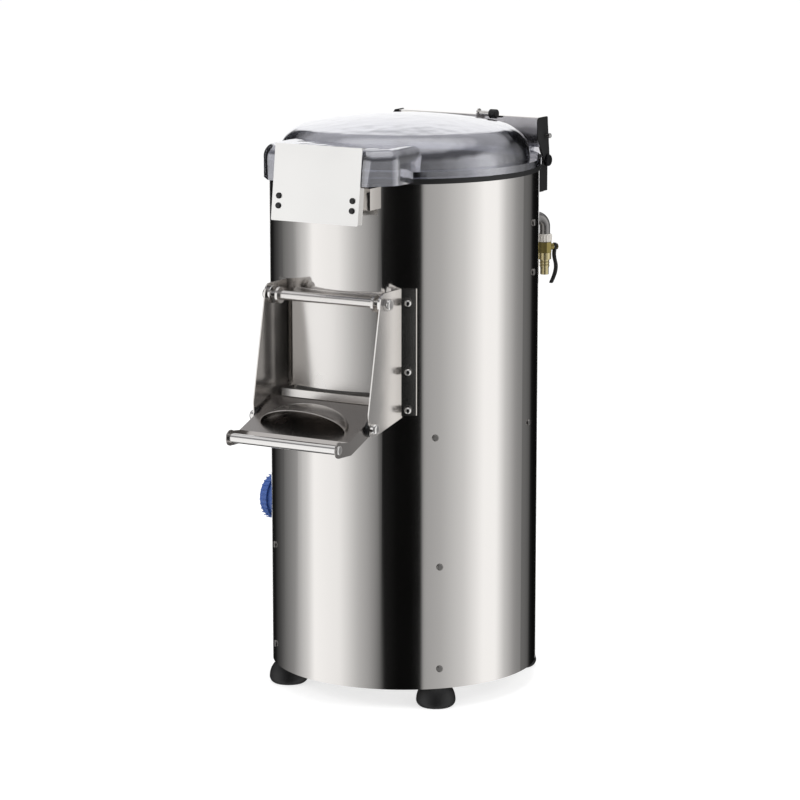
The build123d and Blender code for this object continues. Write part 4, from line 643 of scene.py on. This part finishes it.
# Cover screw in mm: its rings of radius and height, its place in Y and Z, and how far its
# foot sinks into the cap
COVER_SCREW_RINGS = (
    (0.8, 0.0), (2.0, 0.0), (2.0, 5.2), (3.6, 5.2), (3.9, 6.0), (3.6, 7.6), (2.4, 8.6),
    (0.8, 8.9),
)
COVER_SCREW_SIDES = 24
COVER_SCREW_PLACE = (211.0, 808.0)
COVER_SCREW_SUNK = 0.3


class PEELER_OT_hinge_ends(bpy.types.Operator):
    """Caps the ends of the lid's rear cover and of its hinge bracket in black nylon"""

    bl_idname = "peeler.hinge_ends"
    bl_label = "Hinge ends"

    def execute(self, context):
        thick = sizes().end_cap / MM
        # Moulded nylon end caps: near black, low sheen
        nylon = moulded("moulded_nylon_end_caps", "#0a0a0b", "#060607", 0.6, 0.8, 0.04)
        # Plated screws: pale grey, dull gleam
        plated = turned_steel("plated_cover_screws", "#b9b8b6", 0.3)
        for side, name in ((-1, "left"), (1, "right")):
            outer = COVER_END_X + thick
            cover = block(
                (COVER_END_X, *COVER_END_LOW), (outer, *COVER_END_HIGH), COVER_END_EDGE,
                COVER_END_CUTS,
            )
            self.mirrored(cover, side)
            settle(cover, f"cover_end_{name}", "lid", nylon)
            bracket = block(
                (BRACKET_END_X, *BRACKET_END_LOW), (BRACKET_END_X + thick, *BRACKET_END_HIGH),
                BRACKET_END_EDGE, BRACKET_END_CUTS,
            )
            self.mirrored(bracket, side)
            settle(bracket, f"bracket_end_{name}", "body", nylon)
            screw = turned(COVER_SCREW_RINGS, COVER_SCREW_SIDES)
            settle(
                screw, f"cover_screw_{name}", "lid", plated,
                (side * (outer - COVER_SCREW_SUNK), *COVER_SCREW_PLACE),
                (0, side * math.pi / 2, 0),
            )
        return {"FINISHED"}

    def mirrored(self, piece, side):
        """Mirrors a piece to the left side where side is -1, its faces turned outwards again."""
        if side > 0:
            return
        deselect()
        piece.select_set(True)
        bpy.context.view_layer.objects.active = piece
        piece.scale = (-1, 1, 1)
        piece.location.x = -piece.location.x
        bpy.ops.object.transform_apply(location=True, rotation=True, scale=True)
        bpy.ops.object.mode_set(mode="EDIT")
        bpy.ops.mesh.select_all(action="SELECT")
        bpy.ops.mesh.normals_make_consistent(inside=False)
        bpy.ops.object.mode_set(mode="OBJECT")


# Topmost grip rib of the mains cap in mm: two corners, the width of its rounded edge, and the
# height of the cap's axis
RIB_LOW = (-237.0, -0.9, 284.6)
RIB_HIGH = (-226.2, 0.9, 286.0)
RIB_EDGE = 0.5
INLET_AXIS_HEIGHT = 251.0


class PEELER_OT_cap_grip(bpy.types.Operator):
    """Adds a ribbed grip band around the mains inlet's cap"""

    bl_idname = "peeler.cap_grip"
    bl_label = "Cap grip"

    def execute(self, context):
        count = sizes().rib_count
        # Same blue polyamide as the cap: satin
        blue_colour = hex_of(finishes().blue)
        ribbed = moulded("ribbed_blue_polyamide", blue_colour, BLUE_SHADE, 0.36, 0.6, 0.03)
        rib = block(RIB_LOW, RIB_HIGH, RIB_EDGE, segments=2)
        deselect()
        rib.select_set(True)
        bpy.context.view_layer.objects.active = rib
        bpy.ops.object.mode_set(mode="EDIT")
        bpy.ops.mesh.select_all(action="SELECT")
        bpy.ops.mesh.spin(
            steps=count, angle=math.tau, center=(0, 0, INLET_AXIS_HEIGHT * MM), axis=(1, 0, 0),
            dupli=True,
        )
        bpy.ops.mesh.select_all(action="SELECT")
        bpy.ops.mesh.remove_doubles(threshold=RIB_MERGE)
        bpy.ops.mesh.normals_make_consistent(inside=False)
        bpy.ops.object.mode_set(mode="OBJECT")
        settle(rib, "cap_grip_ribs", "cap", ribbed)
        return {"FINISHED"}


# Shell seam in mm: its direction from the drum's axis, the shell's radius, the bead's length
# and middle height, and its depth as a share of its width
SEAM_TURN = math.radians(105.0)
SHELL_RADIUS = 200.0
SEAM_LENGTH = 690.0
SEAM_MIDDLE = 376.0
SEAM_DEPTH_SHARE = 0.24


class PEELER_OT_shell_seam(bpy.types.Operator):
    """Runs a dressed weld bead down the back of the shell"""

    bl_idname = "peeler.shell_seam"
    bl_label = "Shell seam"

    def execute(self, context):
        width = sizes().seam_width
        # Dressed weld: duller than the sheet, with a straw tint and fine ripples
        weld = polished_steel("dressed_weld_bead", "#cdc3b4", 0.34, 2.4, 0.12, along=0)
        deselect()
        bpy.ops.mesh.primitive_cylinder_add(
            vertices=24, radius=width / 2, depth=SEAM_LENGTH * MM,
            location=(
                SHELL_RADIUS * MM * math.cos(SEAM_TURN), SHELL_RADIUS * MM * math.sin(SEAM_TURN),
                SEAM_MIDDLE * MM,
            ),
        )
        bead = context.object
        bead.scale = (SEAM_DEPTH_SHARE, 1, 1)
        bead.rotation_euler = (0, 0, SEAM_TURN)
        bpy.ops.object.transform_apply(location=True, rotation=True, scale=True)
        bpy.ops.object.mode_set(mode="EDIT")
        bpy.ops.mesh.select_all(action="SELECT")
        bpy.ops.mesh.subdivide(number_cuts=1)
        bpy.ops.object.mode_set(mode="OBJECT")
        settle(bead, "shell_seam", "body", weld)
        return {"FINISHED"}


# Studio: bands of light and shade round the object, by direction from the camera's side, in
# degrees, with the sRGB grey that a mirror shows there
STUDIO_BANDS = (
    (-180, "#ffffff"), (-170, "#ffffff"), (-166, "#161616"), (-152, "#181818"),
    (-136, "#4a4a4a"), (-112, "#8a8a8a"), (-92, "#d8d8d8"), (-84, "#ffffff"), (-58, "#f4f4f4"),
    (-40, "#bababa"), (-30, "#9e9e9e"), (-22, "#727272"), (-17, "#1a1a1a"), (-6, "#0a0a0a"),
    (6, "#0a0a0a"), (14.5, "#1a1a1a"), (16, "#a2a2a2"), (31, "#b0b0b0"), (52, "#d2d2d2"),
    (72, "#ffffff"), (86, "#ffffff"), (97, "#c8c8c8"), (110, "#989898"), (125, "#6c6c6c"),
    (136, "#585858"), (142, "#181818"), (150, "#0c0c0c"), (166, "#0c0c0c"), (170, "#ffffff"),
    (180, "#ffffff"),
)
# Overhead part of the studio, by the upward share of a direction: where the bands give way to
# the roof, where the roof gives way to the lamp sheet, and, by the share towards the back,
# where the roof turns from its darker to its lighter grey
ROOF_RISE = (0.36, 0.55)
SHEET_RISE = (0.74, 0.9)
ROOF_DEPTH = (-0.25, 0.3)
# Strength of the world's light on matt things and in mirrors
SOFT_LIGHT = 0.75
MIRROR_LIGHT = 1.12
# Floor: width in metres, strength of its glow, and the glow's share in what the camera sees
FLOOR_SIZE = 40.0
FLOOR_GLOW = 1.36
GLOW_SHARE = 0.5
# Lamps: name, place in metres and share of the main lamp's power; their width and common aim
LAMPS = (
    ("front_left_lamp", (-2.6, -2.6, 2.4), 1.0),
    ("right_lamp", (3.2, 0.4, 2.2), 0.6),
    ("top_lamp", (0.0, 0.2, 3.4), 0.7),
)
LAMP_SIZE = 1.8
LAMP_AIM = (0, 0, 0.45)
# Camera: turn to the left of the drum's axis, sensor and lens in mm, far end of view in metres
CAMERA_PAN = math.radians(0.076)
SENSOR_WIDTH = 36.0
LENS = 146.65
VIEW_END = 100.0


class PEELER_OT_stage(bpy.types.Operator):
    """Sets up floor, world, lamps and camera"""

    bl_idname = "peeler.stage"
    bl_label = "Stage"

    def execute(self, context):
        stage = context.scene.peeler_stage
        context.scene.view_settings.view_transform = "Standard"
        self.add_floor()
        self.add_world(context.scene, stage)
        self.add_lamps(stage)
        self.add_camera(context.scene, stage)
        return {"FINISHED"}

    def add_floor(self):
        """Lays a white floor that reflections don't show."""
        deselect()
        bpy.ops.mesh.primitive_plane_add(size=FLOOR_SIZE, location=(0, 0, 0))
        floor = bpy.context.object
        floor.name = "studio_floor"
        # Matt white paint that shows nearly white to the camera and keeps a soft shadow
        material, tree, out = new_material("matt_white_floor")
        paint = add_node(tree, "ShaderNodeBsdfDiffuse", {"Color": linear("#f0f0f0")})
        glow = add_node(
            tree, "ShaderNodeEmission", {"Color": linear("#ffffff"), "Strength": FLOOR_GLOW},
        )
        rays = add_node(tree, "ShaderNodeLightPath")
        share = add_node(
            tree, "ShaderNodeMath", {"operation": "MULTIPLY", 1: GLOW_SHARE},
            {0: (rays, "Is Camera Ray")},
        )
        mix = add_node(
            tree, "ShaderNodeMixShader", {},
            {0: (share, "Value"), 1: (paint, "BSDF"), 2: (glow, "Emission")},
        )
        tree.links.new(mix.outputs["Shader"], out.inputs["Surface"])
        floor.data.materials.append(material)
        floor.visible_glossy = False

    def add_world(self, scene, stage):
        """Surrounds the object with the studio's bands and roof, white to the camera itself."""
        world = bpy.data.worlds.new("studio")
        scene.world = world
        world.use_nodes = True
        tree = world.node_tree
        tree.nodes.clear()
        out = add_node(tree, "ShaderNodeOutputWorld")
        place = add_node(tree, "ShaderNodeTexCoord")
        turned_place = add_node(
            tree, "ShaderNodeVectorRotate",
            {"rotation_type": "Z_AXIS", "Angle": -stage.camera_turn},
            {"Vector": (place, "Generated")},
        )
        parts = add_node(tree, "ShaderNodeSeparateXYZ", {}, {"Vector": (turned_place, "Vector")})
        front = add_node(
            tree, "ShaderNodeMath", {"operation": "MULTIPLY", 1: -1.0}, {0: (parts, "Y")},
        )
        angle = add_node(
            tree, "ShaderNodeMath", {"operation": "ARCTAN2"},
            {0: (parts, "X"), 1: (front, "Value")},
        )
        turn = add_node(
            tree, "ShaderNodeMapRange", {"From Min": -math.pi, "From Max": math.pi},
            {"Value": (angle, "Value")},
        )
        bands = add_node(tree, "ShaderNodeValToRGB", {}, {"Fac": (turn, "Result")})
        ramp = bands.color_ramp
        for place_deg, code in STUDIO_BANDS[1:-1]:
            ramp.elements.new((place_deg + 180) / 360).color = linear(code)
        ramp.elements[0].color = linear(STUDIO_BANDS[0][1])
        ramp.elements[-1].color = linear(STUDIO_BANDS[-1][1])
        # Overhead, the studio is grey, darker towards the camera than behind the object
        behind = add_node(
            tree, "ShaderNodeMapRange",
            {"From Min": ROOF_DEPTH[0], "From Max": ROOF_DEPTH[1]}, {"Value": (parts, "Y")},
        )
        roof = add_node(
            tree, "ShaderNodeMix",
            {"data_type": "RGBA", MIX_A: linear("#747476"), MIX_B: linear("#b0b0b2")},
            {0: (behind, "Result")},
        )
        height = add_node(
            tree, "ShaderNodeMapRange",
            {"From Min": ROOF_RISE[0], "From Max": ROOF_RISE[1]}, {"Value": (parts, "Z")},
        )
        zenith = add_node(
            tree, "ShaderNodeMapRange",
            {"From Min": SHEET_RISE[0], "From Max": SHEET_RISE[1]}, {"Value": (parts, "Z")},
        )
        # A soft lamp sheet hangs straight overhead
        sheet = add_node(
            tree, "ShaderNodeMix", {"data_type": "RGBA", MIX_B: linear("#f2f2f2")},
            {0: (zenith, "Result"), MIX_A: (roof, MIX_RESULT)},
        )
        ceiling = add_node(
            tree, "ShaderNodeMix", {"data_type": "RGBA"},
            {0: (height, "Result"), MIX_A: (bands, "Color"), MIX_B: (sheet, MIX_RESULT)},
        )
        rays = add_node(tree, "ShaderNodeLightPath")
        # One light for matt things, the studio for mirrors, plain white for the camera
        soft = add_node(
            tree, "ShaderNodeBackground", {"Color": linear("#ffffff"), "Strength": SOFT_LIGHT},
        )
        mirror = add_node(
            tree, "ShaderNodeBackground", {"Strength": MIRROR_LIGHT},
            {"Color": (ceiling, MIX_RESULT)},
        )
        white = add_node(
            tree, "ShaderNodeBackground", {"Color": linear("#ffffff"), "Strength": 1.0},
        )
        lit = add_node(
            tree, "ShaderNodeMixShader", {},
            {0: (rays, "Is Glossy Ray"), 1: (soft, "Background"), 2: (mirror, "Background")},
        )
        seen = add_node(
            tree, "ShaderNodeMath", {"operation": "MAXIMUM"},
            {0: (rays, "Is Camera Ray"), 1: (rays, "Is Transmission Ray")},
        )
        mix = add_node(
            tree, "ShaderNodeMixShader", {},
            {0: (seen, "Value"), 1: (lit, "Shader"), 2: (white, "Background")},
        )
        tree.links.new(mix.outputs["Shader"], out.inputs["Surface"])

    def add_lamps(self, stage):
        """Hangs soft lamps that mirrors don't show."""
        for name, place, share in LAMPS:
            deselect()
            bpy.ops.object.light_add(type="AREA", location=place)
            lamp = bpy.context.object
            lamp.name = name
            lamp.data.size = LAMP_SIZE
            lamp.data.energy = stage.light_power * share
            aim = Vector(LAMP_AIM) - Vector(place)
            lamp.rotation_euler = aim.to_track_quat("-Z", "Y").to_euler()
            lamp.visible_glossy = False

    def add_camera(self, scene, stage):
        """Sets up the camera that matches the photograph's view."""
        deselect()
        away = (math.sin(stage.camera_turn), -math.cos(stage.camera_turn))
        bpy.ops.object.camera_add(
            location=(
                stage.camera_distance * away[0], stage.camera_distance * away[1],
                stage.camera_height,
            ),
            rotation=(math.pi / 2 - stage.camera_tilt, 0, stage.camera_turn + CAMERA_PAN),
        )
        camera = bpy.context.object
        camera.data.sensor_width = SENSOR_WIDTH
        camera.data.lens = LENS
        camera.data.clip_end = VIEW_END
        scene.camera = camera


class PEELER_PT_panel(bpy.types.Panel):
    """Lists the machine's settings and the steps that dress it"""

    bl_label = "Peeler"
    bl_idname = "PEELER_PT_panel"
    bl_space_type = "VIEW_3D"
    bl_region_type = "UI"
    bl_category = "Peeler"

    def draw(self, context):
        scene = context.scene
        for group in (scene.peeler_finishes, scene.peeler_pieces, scene.peeler_stage):
            box = self.layout.box()
            for key in group.__annotations__:
                box.prop(group, key)
        for step in STEPS:
            self.layout.operator(step.bl_idname)


STEPS = (
    PEELER_OT_steelwork,
    PEELER_OT_bright_parts,
    PEELER_OT_moulded_parts,
    PEELER_OT_lid,
    PEELER_OT_lever,
    PEELER_OT_hinge_ends,
    PEELER_OT_cap_grip,
    PEELER_OT_shell_seam,
    PEELER_OT_stage,
)
CLASSES = (PeelerFinishes, PeelerPieces, PeelerStage, *STEPS, PEELER_PT_panel)


def register():
    """Registers the classes and hangs the settings on the scene."""
    for item in CLASSES:
        bpy.utils.register_class(item)
    bpy.types.Scene.peeler_finishes = bpy.props.PointerProperty(type=PeelerFinishes)
    bpy.types.Scene.peeler_pieces = bpy.props.PointerProperty(type=PeelerPieces)
    bpy.types.Scene.peeler_stage = bpy.props.PointerProperty(type=PeelerStage)


def unregister():
    """Takes settings and classes away again."""
    del bpy.types.Scene.peeler_stage
    del bpy.types.Scene.peeler_pieces
    del bpy.types.Scene.peeler_finishes
    for item in reversed(CLASSES):
        bpy.utils.unregister_class(item)


def main():
    """Dresses the machine."""
    register()
    bpy.ops.peeler.steelwork()
    bpy.ops.peeler.bright_parts()
    bpy.ops.peeler.moulded_parts()
    bpy.ops.peeler.lid()
    bpy.ops.peeler.lever()
    bpy.ops.peeler.hinge_ends()
    bpy.ops.peeler.cap_grip()
    bpy.ops.peeler.shell_seam()
    bpy.ops.peeler.stage()
    bpy.context.view_layer.update()


if __name__ == "__main__":
    main()
